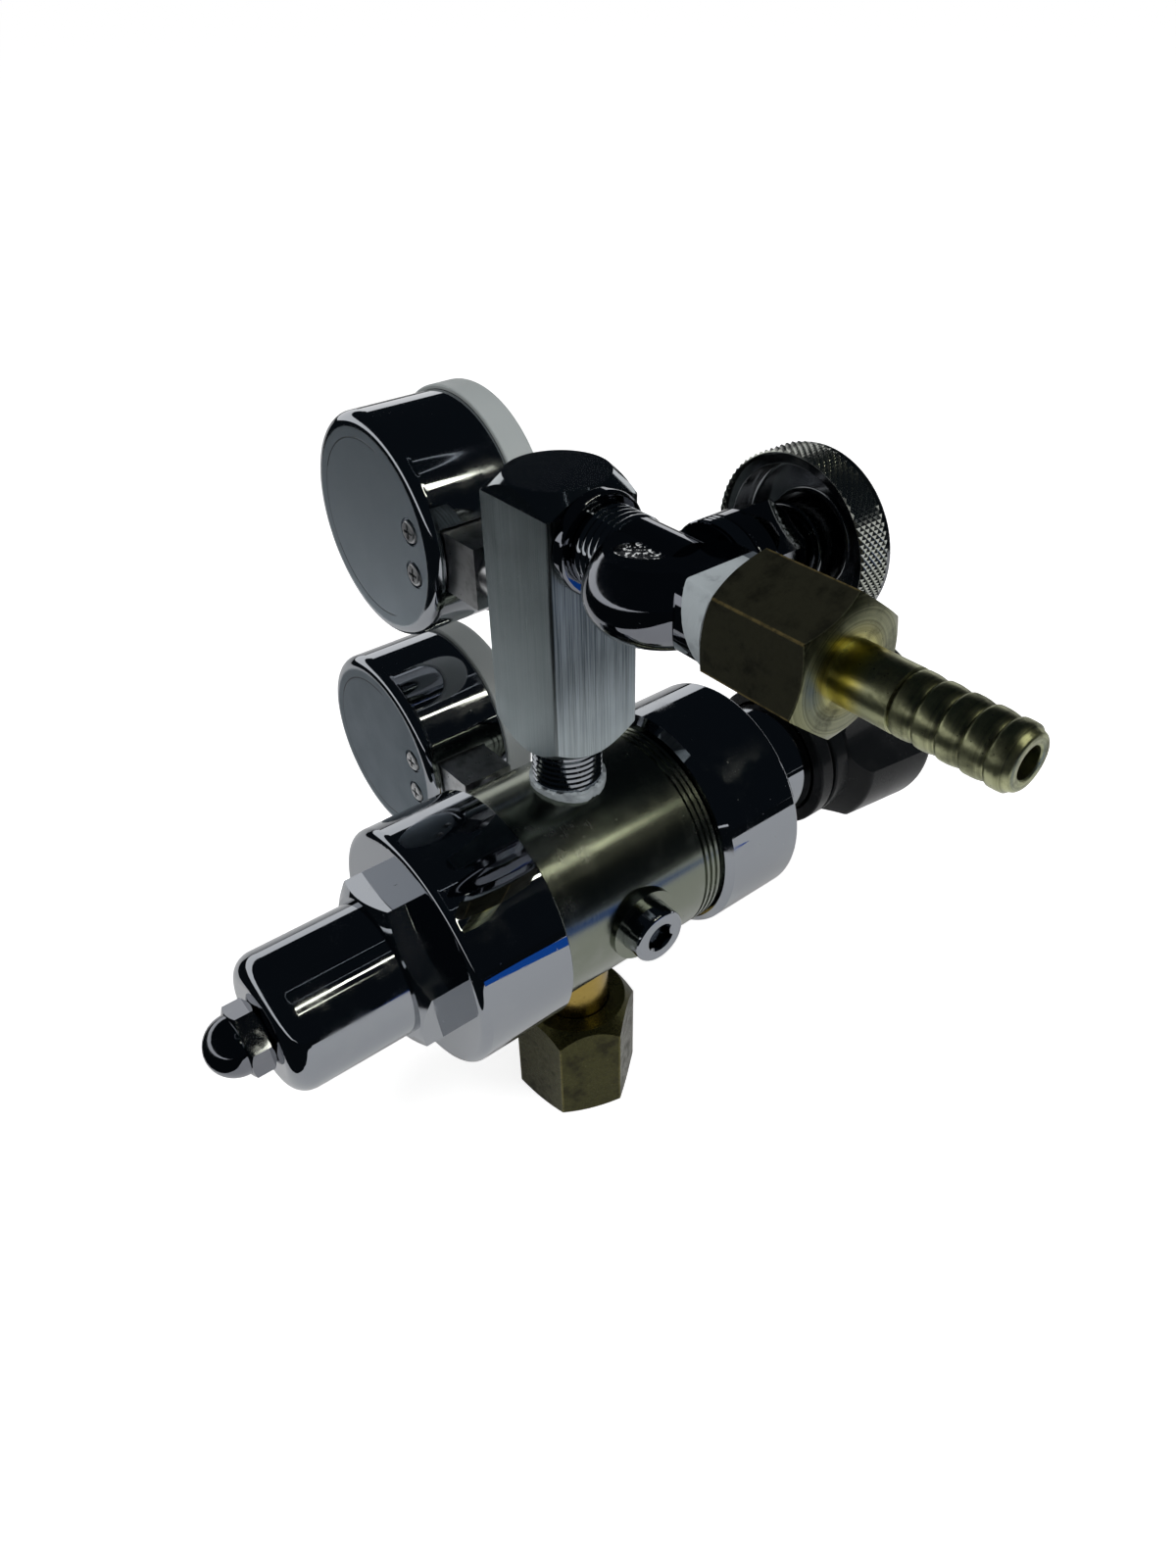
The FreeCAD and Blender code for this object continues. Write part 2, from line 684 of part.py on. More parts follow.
def port_plug():
    """Threaded plug with a hexagonal socket, in the front port."""
    face = -BODY_R - PLUG_PROUD
    inner = -BODY_R - BOSS_PROUD + PLUG_DEPTH - SEAT
    body = along_y(turned([
        (face, 0), (face, PLUG_R, 0.9), (inner, PLUG_R, 0.5), (inner, 0)]), 0, AXIS_Z)
    socket = hexagon(PLUG_SOCKET_FLATS, PLUG_SOCKET_DEPTH, 30.0)
    socket.rotate(Vec(0, 0, 0), Vec(0, 0, 1), 90)
    socket.translate(Vec(0, face, AXIS_Z))
    cone = along_y(turned([
        (face - 1, 0), (face - 1, corner_radius(PLUG_SOCKET_FLATS) + 1),
        (face + 0.6, PLUG_SOCKET_FLATS / 2), (face + 0.6, 0)]), 0, AXIS_Z)
    return body.cut([socket, cone])


def gauge_block():
    """Square block with both ends turned to a cone, and four ports."""
    half = BLOCK_SIDE / 2
    bar = Part.makeBox(
        BLOCK_SIDE, BLOCK_SIDE, BLOCK_HEIGHT, Vec(-half, -half, BLOCK_BOTTOM))
    wide = half * math.sqrt(2) - BLOCK_BROKEN_EDGE
    turned_bar = along_z(turned([
        (BLOCK_BOTTOM, 0), (BLOCK_BOTTOM, BLOCK_DISC_R), (BLOCK_BOTTOM + BLOCK_CONE, wide),
        (BLOCK_TOP - BLOCK_CONE, wide), (BLOCK_TOP, BLOCK_DISC_R), (BLOCK_TOP, 0)]))
    shape = bar.common(turned_bar)
    neck = rod(
        Vec(0, 0, BLOCK_BOTTOM - 1), Vec(0, 0, BLOCK_BOTTOM + NIPPLE_BITE + SEAT),
        NIPPLE_R + THREAD)
    riser = rod(Vec(0, 0, BLOCK_BOTTOM), Vec(0, 0, VALVE_Z), PASSAGE_R)
    valve = rod(
        Vec(0, -half - 1, VALVE_Z), Vec(0, -half + STEM_BITE + SEAT, VALVE_Z),
        INLET_NECK_R + THREAD)
    gauge = rod(
        Vec(0, half + 1, TOP_GAUGE_Z), Vec(0, half - STEM_BITE - SEAT, TOP_GAUGE_Z),
        STEM_THREAD_R + THREAD)
    return shape.cut([neck, riser, valve, gauge])


def block_nipple():
    """Threaded nipple between the body and the block."""
    low = AXIS_Z + BODY_R - NIPPLE_BITE
    high = BLOCK_BOTTOM + NIPPLE_BITE
    return along_z(turned([
        (low, NIPPLE_BORE_R), (low, NIPPLE_R, 0.6), (high, NIPPLE_R, 0.6),
        (high, NIPPLE_BORE_R)]))


class Gauge:
    """Round gauge on a stem that points to -Y, with its dial facing +X."""

    def __init__(self, name, y, z, port_y):
        self.name = name
        self.y = y
        self.z = z
        self.reach = y - port_y

    def place(self, shape):
        """The shape moved from the case's centre to the part's frame."""
        result = shape.copy()
        result.translate(Vec(0, self.y, self.z))
        return result

    def screw_places(self):
        """Centres of the two case screws, from the case's centre."""
        return [
            Vec(0, -GAUGE_SCREW_REACH, GAUGE_SCREW_SPREAD),
            Vec(0, -GAUGE_SCREW_REACH, -GAUGE_SCREW_SPREAD)]

    def case(self):
        """Drawn cup, notched for the stem and dimpled for the screws."""
        inner = CASE_R - CASE_WALL
        cup = turned([
            (-CASE_BACK, 0), (-CASE_BACK, CASE_R, CASE_EDGE), (CASE_FRONT, CASE_R),
            (CASE_FRONT, inner), (-CASE_BACK + CASE_BACK_WALL, inner, CASE_EDGE - CASE_WALL),
            (-CASE_BACK + CASE_BACK_WALL, 0)])
        half = STEM_SIDE / 2 + SEAT
        notch = Part.makeBox(
            2 * half, CASE_R, 2 * half, Vec(-half, -CASE_R - 5, -half))
        cuts = [notch]
        for place in self.screw_places():
            back = Vec(-CASE_BACK, place.y, place.z)
            cuts.append(rod(back - Vec(1, 0, 0), back + Vec(3, 0, 0), GAUGE_SCREW_R + 0.1))
            cuts.append(rod(
                back - Vec(1, 0, 0), back + Vec(0.9, 0, 0), GAUGE_SCREW_HEAD_R + 0.6))
        return self.place(cup.cut(cuts))

    def screw(self, place):
        """Pan-head screw through the case's back into the stem's foot."""
        head = -CASE_BACK + 0.9
        shape = turned([
            (head - 1.3, 0), (head - 1.3, GAUGE_SCREW_HEAD_R, 0.7), (head, GAUGE_SCREW_HEAD_R),
            (head, GAUGE_SCREW_R), (head + 6.0, GAUGE_SCREW_R), (head + 6.0, 0)])
        cross = Part.makeBox(0.7, 3.2, 0.7, Vec(head - 1.4, -1.6, -0.35))
        turned_cross = cross.copy()
        turned_cross.rotate(Vec(0, 0, 0), Vec(1, 0, 0), 90)
        shape = shape.cut([cross, turned_cross])
        shape.translate(Vec(0, place.y, place.z))
        return self.place(shape)

    def bezel(self):
        """Ring that holds the window on the case."""
        skirt_r = CASE_R + 0.1
        front = CASE_FRONT + WINDOW_THICK + 0.2
        return self.place(turned([
            (CASE_FRONT - BEZEL_SKIRT + 2, skirt_r), (CASE_FRONT - BEZEL_SKIRT + 2, BEZEL_R, 0.4),
            (front + BEZEL_LIP, BEZEL_R, 1.6), (front + BEZEL_LIP, BEZEL_LIP_R, 0.6),
            (front, BEZEL_LIP_R), (front, skirt_r)]))

    def window(self):
        """Flat clear window on the case's front edge."""
        start = CASE_FRONT + 0.1
        radius = CASE_R - 0.2
        return self.place(turned([
            (start, 0), (start, radius), (start + WINDOW_THICK, radius),
            (start + WINDOW_THICK, 0)]))

    def dial(self):
        """Dial plate with a hole for the pointer's arbor."""
        radius = CASE_R - CASE_WALL - SEAT
        return self.place(turned([
            (DIAL_PLACE, ARBOR_R + SEAT), (DIAL_PLACE, radius),
            (DIAL_PLACE + DIAL_THICK, radius), (DIAL_PLACE + DIAL_THICK, ARBOR_R + SEAT)]))

    def pointer(self):
        """Pointer at its zero, with its arbor and pinion."""
        shaft = turned([
            (-0.6, 0), (-0.6, ARBOR_R), (2.4, ARBOR_R), (2.4, PINION_R), (5.6, PINION_R),
            (5.6, ARBOR_R), (POINTER_PLACE, ARBOR_R), (POINTER_PLACE, 2.6),
            (POINTER_PLACE + POINTER_THICK + 0.5, 2.6, 0.4), (POINTER_PLACE + POINTER_THICK + 0.5, 0)])
        outline = [
            Vec(POINTER_PLACE, -1.6, -POINTER_TAIL), Vec(POINTER_PLACE, 1.6, -POINTER_TAIL),
            Vec(POINTER_PLACE, 0.35, POINTER_LENGTH), Vec(POINTER_PLACE, -0.35, POINTER_LENGTH)]
        blade = Part.Face(Part.makePolygon(outline + outline[:1])).extrude(
            Vec(POINTER_THICK, 0, 0))
        shape = shaft.fuse(blade)
        shape.rotate(Vec(0, 0, 0), Vec(1, 0, 0), 135)
        return self.place(shape)

    def sector(self):
        """Sector plate on its pin, its rim beside the pinion."""
        rim = SECTOR_PIVOT - PINION_R - 0.35
        half = math.radians(SECTOR_HALF_ANGLE)
        middle = Vec(3.2, rim, 0)
        low = Vec(3.2, rim * math.cos(half), -rim * math.sin(half))
        high = Vec(3.2, rim * math.cos(half), rim * math.sin(half))
        centre = Vec(3.2, 0, 0)
        wire = Part.Wire([
            Part.LineSegment(centre, low).toShape(), Part.Arc(low, middle, high).toShape(),
            Part.LineSegment(high, centre).toShape()])
        plate = Part.Face(wire).extrude(Vec(SECTOR_THICK, 0, 0))
        hub = rod(Vec(3.2, 0, 0), Vec(3.2 + SECTOR_THICK, 0, 0), SECTOR_PIN_R + 1.2)
        hole = rod(Vec(3.0, 0, 0), Vec(5.2, 0, 0), SECTOR_PIN_R + RUNNING)
        shape = plate.fuse(hub).cut(hole).removeSplitter()
        shape.rotate(Vec(0, 0, 0), Vec(1, 0, 0), -SECTOR_START)
        shape.translate(Vec(0, -SECTOR_PIVOT, 0))
        return self.place(shape)

    def tube(self):
        """Curved pressure tube round the movement."""
        ring = Part.makeCircle(TUBE_R, Vec(0, -TUBE_RING_R, 0), Vec(0, 0, 1))
        face = Part.Face(Part.Wire(ring))
        shape = face.revolve(Vec(0, 0, 0), Vec(1, 0, 0), TUBE_ANGLE)
        shape.rotate(Vec(0, 0, 0), Vec(1, 0, 0), TUBE_START)
        shape.translate(Vec(-4.0, 0, 0))
        return self.place(shape)

    def socket(self):
        """Square stem with its thread, foot and the two plates of the movement."""
        half = STEM_SIDE / 2
        back = -CASE_BACK + CASE_BACK_WALL + 0.1
        square = Part.makeBox(
            STEM_SIDE, STEM_SQUARE_END - FOOT_END + 1, STEM_SIDE,
            Vec(-half, -STEM_SQUARE_END, -half))
        foot = Part.makeBox(
            half - back, FOOT_END - FOOT_START, 2 * FOOT_HALF, Vec(back, -FOOT_END, -FOOT_HALF))
        thread = rod(
            Vec(0, -STEM_SQUARE_END + 1, 0), Vec(0, -self.reach - STEM_BITE, 0), STEM_THREAD_R)
        shape = square.fuse([foot, thread])
        for start in (MOVEMENT_NEAR, MOVEMENT_FAR):
            shape = shape.fuse(Part.makeBox(
                MOVEMENT_THICK, FOOT_START + MOVEMENT_PAST, MOVEMENT_WIDTH,
                Vec(start, -FOOT_START - MOVEMENT_THICK, -MOVEMENT_WIDTH / 2)))
            shape = shape.cut(rod(Vec(start - 1, 0, 0), Vec(start + 2, 0, 0), ARBOR_R + RUNNING))
        pin = rod(Vec(1.0, -SECTOR_PIVOT, 0), Vec(7.0, -SECTOR_PIVOT, 0), SECTOR_PIN_R)
        bore = rod(Vec(0, -self.reach - STEM_BITE - 1, 0), Vec(0, -FOOT_START - 3, 0), STEM_BORE_R)
        shape = shape.fuse(pin).cut(bore)
        for place in self.screw_places():
            start = Vec(back - 1, place.y, place.z)
            shape = shape.cut(rod(start, start + Vec(SCREW_HOLE_DEPTH, 0, 0), GAUGE_SCREW_R + THREAD))
        return self.place(shape.removeSplitter())


def valve_collar():
    """Turned lock ring between the block and the needle valve."""
    start = -BLOCK_SIDE / 2
    return along_y(turned([
        (start - COLLAR_THICK, INLET_NECK_R + THREAD), (start - COLLAR_THICK, COLLAR_R, 0.8),
        (start - 0.02, COLLAR_R, 0.4), (start - 0.02, INLET_NECK_R + THREAD)]), 0, VALVE_Z)


def valve_bulb():
    """Bulging left side of the valve body, part of an ellipsoid."""
    matrix = Base.Matrix()
    matrix.scale(BULB_LONG, 1, BULB_TALL)
    bulb = Part.makeSphere(BULB_R, Vec(0, 0, 0), Vec(0, 1, 0)).transformGeometry(matrix)
    bulb.translate(Vec(BULB_X, BULB_Y, VALVE_Z))
    wide = 2 * BULB_R * BULB_LONG
    right = Part.makeBox(wide, wide, wide, Vec(BULB_END, BULB_Y - wide / 2, VALVE_Z - wide / 2))
    behind = Part.makeBox(wide, wide, wide, Vec(BULB_SIDE, BULB_BEHIND, VALVE_Z - wide / 2))
    return bulb.cut([right, behind])


def valve_flat():
    """What is milled off the valve body's top: a plane and an oval recess in it."""
    reach = BULB_R * BULB_LONG
    plane = Part.makeBox(
        reach + FLAT_END, 2 * reach, reach,
        Vec(-reach, STEM_Y - reach, VALVE_Z + VALVE_FLAT))
    oval = Part.makeCylinder(OVAL_SHORT, OVAL_DEPTH + 1, Vec(0, 0, 0), Vec(0, 0, 1))
    matrix = Base.Matrix()
    matrix.scale(OVAL_LONG / OVAL_SHORT, 1, 1)
    oval = oval.transformGeometry(matrix)
    oval.rotate(Vec(0, 0, 0), Vec(0, 0, 1), OVAL_TURN)
    oval.translate(Vec(OVAL_X, OVAL_Y, VALVE_Z + VALVE_FLAT - OVAL_DEPTH))
    return [plane, oval]


def valve_body():
    """Forged body: bulb with a flat top, inlet and outlet necks, chamber and seat."""
    inner = -BLOCK_SIDE / 2 + STEM_BITE
    shoulder = -BLOCK_SIDE / 2 - COLLAR_THICK - 0.05
    inlet = along_y(turned([
        (STEM_Y, 0), (STEM_Y, THREADED_NECK_R), (shoulder, THREADED_NECK_R, 0.4),
        (shoulder, INLET_NECK_R), (inner, INLET_NECK_R, 0.5), (inner, 0)]), 0, VALVE_Z)
    outlet_end = BARB_HEX_START - OUTLET_BITE
    outlet = along_y(turned([
        (outlet_end, 0), (outlet_end, INLET_NECK_R, 0.5), (OUTLET_NECK_END, INLET_NECK_R),
        (OUTLET_NECK_END, OUTLET_R - OUTLET_EDGE), (OUTLET_NECK_END + OUTLET_EDGE, OUTLET_R),
        (OUTLET_START, OUTLET_R), (OUTLET_START, 0)]),
        0, VALVE_Z)
    neck = along_x(turned([
        (NECK_START, 0), (NECK_START, NECK_SADDLE_R), (BARREL_FRONT, NECK_SADDLE_R, 0.3),
        (BARREL_FRONT, 0)]), STEM_Y, VALVE_Z)
    shape = neck.fuse([valve_bulb(), outlet])
    shape = shape.cut(valve_flat()).fuse(inlet)
    screw_end = BARREL_FRONT - BONNET_SCREW_REACH
    chamber = along_x(turned([
        (SEAT_PLACE - SEAT_DEPTH, 0), (SEAT_PLACE - SEAT_DEPTH, SEAT_HOLE_R),
        (SEAT_PLACE, SEAT_HOLE_R),
        (SEAT_PLACE, CHAMBER_BORE_R), (screw_end, CHAMBER_BORE_R),
        (screw_end, BONNET_SCREW_R + THREAD), (BARREL_FRONT + 1, BONNET_SCREW_R + THREAD),
        (BARREL_FRONT + 1, 0)]), STEM_Y, VALVE_Z)
    spot_face = rod(
        Vec(BARREL_FRONT, STEM_Y, VALVE_Z), Vec(BARREL_FRONT + 5, STEM_Y, VALVE_Z),
        BONNET_NECK_R + SPOT_FACE_MARGIN)
    feed = rod(
        Vec(0, inner + 1, VALVE_Z), Vec(SEAT_PLACE - SEAT_DEPTH, STEM_Y, VALVE_Z), PASSAGE_R)
    drain = rod(
        Vec(DRAIN_X, STEM_Y, VALVE_Z), Vec(DRAIN_X, outlet_end - 1, VALVE_Z), PASSAGE_R)
    return shape.cut([chamber, spot_face, feed, drain]).removeSplitter()


def valve_bonnet():
    """Bonnet screwed into the body: neck, hexagon and turned collar."""
    bore = SPINDLE_R + RUNNING
    start = BARREL_FRONT - BONNET_SCREW_REACH + SEAT
    turned_part = turned([
        (start, bore), (start, BONNET_SCREW_R), (BARREL_FRONT + 0.05, BONNET_SCREW_R),
        (BARREL_FRONT + 0.05, BONNET_NECK_R, 0.4), (BONNET_HEX_START + 1, BONNET_NECK_R),
        (BONNET_HEX_END - 1, BONNET_COLLAR_R), (BONNET_END, BONNET_COLLAR_R, 0.8),
        (BONNET_END, bore)])
    nut = chamfered_hexagon(BONNET_FLATS, BONNET_HEX_START, BONNET_HEX_END, 30.0)
    hole = rod(Vec(BONNET_HEX_START - 1, 0, 0), Vec(BONNET_HEX_END + 1, 0, 0), bore)
    return along_x(turned_part.fuse(nut.cut(hole)).removeSplitter(), STEM_Y, VALVE_Z)


def valve_gland():
    """Turned packing gland round the spindle."""
    bore = SPINDLE_R + RUNNING
    return along_x(turned([
        (BONNET_END + 0.05, bore), (BONNET_END + 0.05, GLAND_R, 0.3), (GLAND_END, GLAND_R, 0.8),
        (GLAND_END, bore)]), STEM_Y, VALVE_Z)


def valve_needle():
    """Floating needle in front of the spindle."""
    return along_x(turned([
        (SEAT_PLACE - 2.8, 0), (SEAT_PLACE - 2.8, 0.6), (SEAT_PLACE, SEAT_HOLE_R - 0.2),
        (SEAT_PLACE + 2.6, NEEDLE_R), (SPINDLE_START - SEAT, NEEDLE_R, 0.3),
        (SPINDLE_START - SEAT, 0)]), STEM_Y, VALVE_Z)


def valve_spindle():
    """Threaded spindle that carries the handwheel."""
    end = WHEEL_NEAR + WHEEL_WIDTH
    return along_x(turned([
        (SPINDLE_START, 0), (SPINDLE_START, SPINDLE_R, 0.4), (end, SPINDLE_R, 0.3),
        (end, 0)]), STEM_Y, VALVE_Z)


def handwheel():
    """Round wheel with a recess towards the bonnet, a web and a hub."""
    far = WHEEL_NEAR + WHEEL_WIDTH
    web = far - WHEEL_WEB
    hub = GLAND_END + SEAT
    bore = SPINDLE_R + THREAD
    return along_x(turned([
        (hub, bore), (hub, WHEEL_HUB_R - 0.8, 0.6), (web, WHEEL_HUB_R, 0.8),
        (web, WHEEL_RECESS_R, 1.0), (WHEEL_NEAR, WHEEL_RECESS_R, 0.2),
        (WHEEL_NEAR, WHEEL_R, 0.5), (far, WHEEL_R, 0.5), (far, bore)]), STEM_Y, VALVE_Z)


def wheel_nut():
    """Hexagonal nut that holds the handwheel on the spindle."""
    start = WHEEL_NEAR + WHEEL_WIDTH + 0.05
    nut = chamfered_hexagon(
        WHEEL_NUT_R * 2 * math.cos(math.pi / 6), start, start + WHEEL_NUT_THICK, 0.0, near=False)
    return along_x(nut, STEM_Y, VALVE_Z)


def hose_barb():
    """Hexagonal fitting with a plain shank and ridges towards its tip."""
    length = BARB_HEX_START - BARB_HEX_END
    shank_end = length + SHANK_LENGTH
    corners = [
        (length - 1, BARB_BORE_R), (length - 1, SHANK_R), (shank_end, SHANK_R),
        (shank_end, RIDGE_VALLEY_R)]
    place = shank_end + 0.4
    for _ in range(RIDGE_COUNT):
        corners += [
            (place, RIDGE_VALLEY_R), (place + 0.9, SHANK_R, 0.3), (place + 1.9, SHANK_R, 0.3),
            (place + RIDGE_PITCH - 0.1, RIDGE_VALLEY_R)]
        place += RIDGE_PITCH
    corners += [
        (place + 0.7, SHANK_R * 0.98, 0.3), (place + BARB_TIP_LENGTH, BARB_TIP_R, 0.5),
        (place + BARB_TIP_LENGTH, BARB_BORE_R)]
    shape = turned(corners)
    nut = chamfered_hexagon(BARB_FLATS, 0, length, BARB_HEX_ANGLE)
    bore = turned([
        (-1, 0), (-1, INLET_NECK_R + THREAD), (OUTLET_BITE + SEAT, INLET_NECK_R + THREAD),
        (OUTLET_BITE + SEAT, BARB_BORE_R), (length + 1, BARB_BORE_R), (length + 1, 0)])
    shape = shape.fuse(nut.cut(bore)).removeSplitter()
    shape.rotate(Vec(0, 0, 0), Vec(0, 0, 1), -90)
    shape.translate(Vec(0, BARB_HEX_START, VALVE_Z))
    return shape


def inlet_nipple():
    """Nipple out of the body's underside, flanged where the nut pulls on it."""
    high = AXIS_Z - BODY_R + INLET_BITE
    flange = NUT_SHOULDER - SEAT
    low = flange - INLET_FLANGE_THICK
    return along_z(turned([
        (low, FILTER_R + THREAD), (low, INLET_FLANGE_R, 0.4), (flange, INLET_FLANGE_R, 0.2),
        (flange, INLET_R), (high, INLET_R, 0.6), (high, INLET_BORE_R),
        (low + FILTER_LENGTH + 0.4, INLET_BORE_R), (low + FILTER_LENGTH + 0.4, FILTER_R + THREAD)]))


def inlet_filter():
    """Sintered filter plug in the nipple's mouth."""
    low = NUT_SHOULDER - SEAT - INLET_FLANGE_THICK + 0.2
    return along_z(turned([
        (low, 0), (low, FILTER_R, 0.3), (low + FILTER_LENGTH, FILTER_R, 0.3),
        (low + FILTER_LENGTH, 0)]))


def inlet_nut():
    """Coupling nut that spins on the nipple, open downwards."""
    radius = corner_radius(NUT_FLATS)
    bar = hexagon(NUT_FLATS, NUT_HEIGHT, NUT_ANGLE - 90)
    envelope = turned([
        (0, 0), (0, NUT_FLATS / 2 * 0.97), (1.3, radius + 0.01), (NUT_HEIGHT - 4.6, radius + 0.01),
        (NUT_HEIGHT, NUT_CHAMFER_R * 0.9), (NUT_HEIGHT, 0)])
    bore = turned([
        (-1, 0), (-1, NUT_THREAD_R), (NUT_THREAD_LENGTH, NUT_THREAD_R),
        (NUT_THREAD_LENGTH + 0.6, NUT_RELIEF_R), (NUT_SHOULDER, NUT_RELIEF_R),
        (NUT_SHOULDER, INLET_R + SEAT), (NUT_HEIGHT + 1, INLET_R + SEAT), (NUT_HEIGHT + 1, 0)])
    return along_z(bar.common(envelope).cut(bore))


def stage_parts():
    """The pieces of both stages, by node name."""
    parts = {}
    for stage in (PRESET, ADJUST):
        flanged = stage is PRESET
        wire_r = PRESET_WIRE_R if flanged else ADJUST_WIRE_R
        turns = PRESET_TURNS if flanged else ADJUST_TURNS
        screw_end = PRESET_SCREW_END
        if not flanged:
            screw_end = knob_cavity_floor() + KNOB_SCREW_REACH - BODY_RIGHT
        parts[stage.name + "_bonnet"] = stage.bonnet(flanged)
        parts[stage.name + "_slip_ring"] = stage.slip_ring()
        parts[stage.name + "_diaphragm"] = stage.diaphragm_disc()
        parts[stage.name + "_plate"] = stage.plate_disc()
        parts[stage.name + "_nozzle"] = stage.nozzle()
        parts[stage.name + "_poppet"] = stage.poppet()
        parts[stage.name + "_poppet_spring"] = stage.poppet_spring()
        parts[stage.name + "_spring"] = stage.main_spring(wire_r, turns)
        parts[stage.name + "_spring_button"] = stage.spring_button()
        parts[stage.name + "_screw"] = stage.screw(screw_end)
    return parts


def gauge_parts():
    """The pieces of both gauges, by node name."""
    parts = {}
    gauges = [
        Gauge("top_gauge", TOP_GAUGE_Y, TOP_GAUGE_Z, BLOCK_SIDE / 2),
        Gauge("back_gauge", BACK_GAUGE_Y, AXIS_Z, BODY_R)]
    for gauge in gauges:
        parts[gauge.name + "_case"] = gauge.case()
        parts[gauge.name + "_bezel"] = gauge.bezel()
        parts[gauge.name + "_window"] = gauge.window()
        parts[gauge.name + "_dial"] = gauge.dial()
        parts[gauge.name + "_pointer"] = gauge.pointer()
        parts[gauge.name + "_sector"] = gauge.sector()
        parts[gauge.name + "_tube"] = gauge.tube()
        parts[gauge.name + "_stem"] = gauge.socket()
        for label, place in zip(("upper", "lower"), gauge.screw_places()):
            parts[gauge.name + "_screw_" + label] = gauge.screw(place)
    return parts


def fitting_parts():
    """The body, knob, block, valve and fittings, by node name."""
    return {
        "main_body": main_body(),
        "acorn_nut": acorn_nut(),
        "adjusting_knob": adjusting_knob(),
        "adjusting_knob_cap": knob_cap(),
        "port_plug": port_plug(),
        "gauge_block": gauge_block(),
        "block_nipple": block_nipple(),
        "valve_collar": valve_collar(),
        "valve_body": valve_body(),
        "valve_bonnet": valve_bonnet(),
        "valve_gland": valve_gland(),
        "valve_needle": valve_needle(),
        "valve_spindle": valve_spindle(),
        "handwheel": handwheel(),
        "handwheel_nut": wheel_nut(),
        "hose_barb": hose_barb(),
        "inlet_nipple": inlet_nipple(),
        "inlet_filter": inlet_filter(),
        "inlet_nut": inlet_nut()}


def main():
    """Build every piece and write one file for each."""
    os.makedirs("parts", exist_ok=True)
    parts = stage_parts()
    parts.update(gauge_parts())
    parts.update(fitting_parts())
    for name, shape in parts.items():
        solid = shape.Solids[0] if len(shape.Solids) == 1 else shape
        solid.exportStep("parts/" + name + ".step")
        if len(shape.Solids) != 1 or not shape.isValid():
            print("check", name, len(shape.Solids), "solids, valid:", shape.isValid())
    print(len(parts), "pieces")


main()
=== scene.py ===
"""Two-stage gas pressure regulator: finishes, threads, tape, knurl, dials and studio.

The CAD frame gives every piece its place. This file dresses the pieces in procedural finishes
and adds what is too fine for the solids: screw threads, white thread tape, the hose barb's
ridges, the handwheel's knurl and the printed dials; it also copies the springs.
Lengths are metres, in the frame's own axes.
"""

import json
import logging
import math
from abc import ABC
from abc import abstractmethod
from contextlib import contextmanager
from dataclasses import dataclass
from dataclasses import field
from enum import Enum
from typing import Any
from typing import Callable
from typing import Iterator

import bpy
from mathutils import Matrix
from mathutils import Vector

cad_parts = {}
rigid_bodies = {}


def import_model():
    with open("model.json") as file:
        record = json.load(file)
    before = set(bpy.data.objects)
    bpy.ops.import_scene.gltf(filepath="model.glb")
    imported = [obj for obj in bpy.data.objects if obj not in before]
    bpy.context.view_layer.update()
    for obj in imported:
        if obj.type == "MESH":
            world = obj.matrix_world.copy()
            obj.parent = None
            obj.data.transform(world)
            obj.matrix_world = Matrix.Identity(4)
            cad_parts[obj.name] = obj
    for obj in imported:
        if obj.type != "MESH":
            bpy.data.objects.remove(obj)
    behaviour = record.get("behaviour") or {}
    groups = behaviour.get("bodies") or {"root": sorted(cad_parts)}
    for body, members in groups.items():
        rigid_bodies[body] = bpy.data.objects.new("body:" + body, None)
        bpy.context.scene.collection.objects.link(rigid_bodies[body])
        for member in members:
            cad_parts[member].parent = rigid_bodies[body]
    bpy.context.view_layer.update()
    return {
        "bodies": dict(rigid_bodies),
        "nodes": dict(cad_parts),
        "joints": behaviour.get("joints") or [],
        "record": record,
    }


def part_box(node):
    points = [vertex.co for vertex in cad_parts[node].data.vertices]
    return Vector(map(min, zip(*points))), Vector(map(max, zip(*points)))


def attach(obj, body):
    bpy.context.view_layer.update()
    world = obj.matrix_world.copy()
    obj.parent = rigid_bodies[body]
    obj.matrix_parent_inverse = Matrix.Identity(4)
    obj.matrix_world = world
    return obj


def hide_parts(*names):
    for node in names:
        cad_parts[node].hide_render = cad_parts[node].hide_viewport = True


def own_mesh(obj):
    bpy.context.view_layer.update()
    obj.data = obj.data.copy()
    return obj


LOG = logging.getLogger("regulator")
MM = 0.001
Rgb = tuple[float, float, float]
Point = tuple[float, float, float]
ORIGIN: Point = (0.0, 0.0, 0.0)


class Axis(Enum):
    """Direction that a turned piece points in, with the turn that takes +Z to it."""

    ALONG_X = "x"
    ALONG_Y = "y"
    ALONG_Z = "z"

    def turn(self) -> Matrix:
        """Rotation that takes the Z axis to this one."""
        if self is Axis.ALONG_X:
            return Matrix.Rotation(math.pi / 2, 4, "Y")
        if self is Axis.ALONG_Y:
            return Matrix.Rotation(-math.pi / 2, 4, "X")
        return Matrix.Identity(4)


def math_operator(operation: str, swapped: bool = False) -> Callable[["Value", Any], "Value"]:
    """Python operator that adds a Math node.

    Args:
        operation: The node's operation.
        swapped: Whether the value is the second operand.
    """
    def combine(value: "Value", other: Any) -> "Value":
        """Adds the node for one pair of operands."""
        first, second = (other, value) if swapped else (value, other)
        return value.nodes.node(
            "ShaderNodeMath", {"operation": operation}, {0: first, 1: second})
    return combine


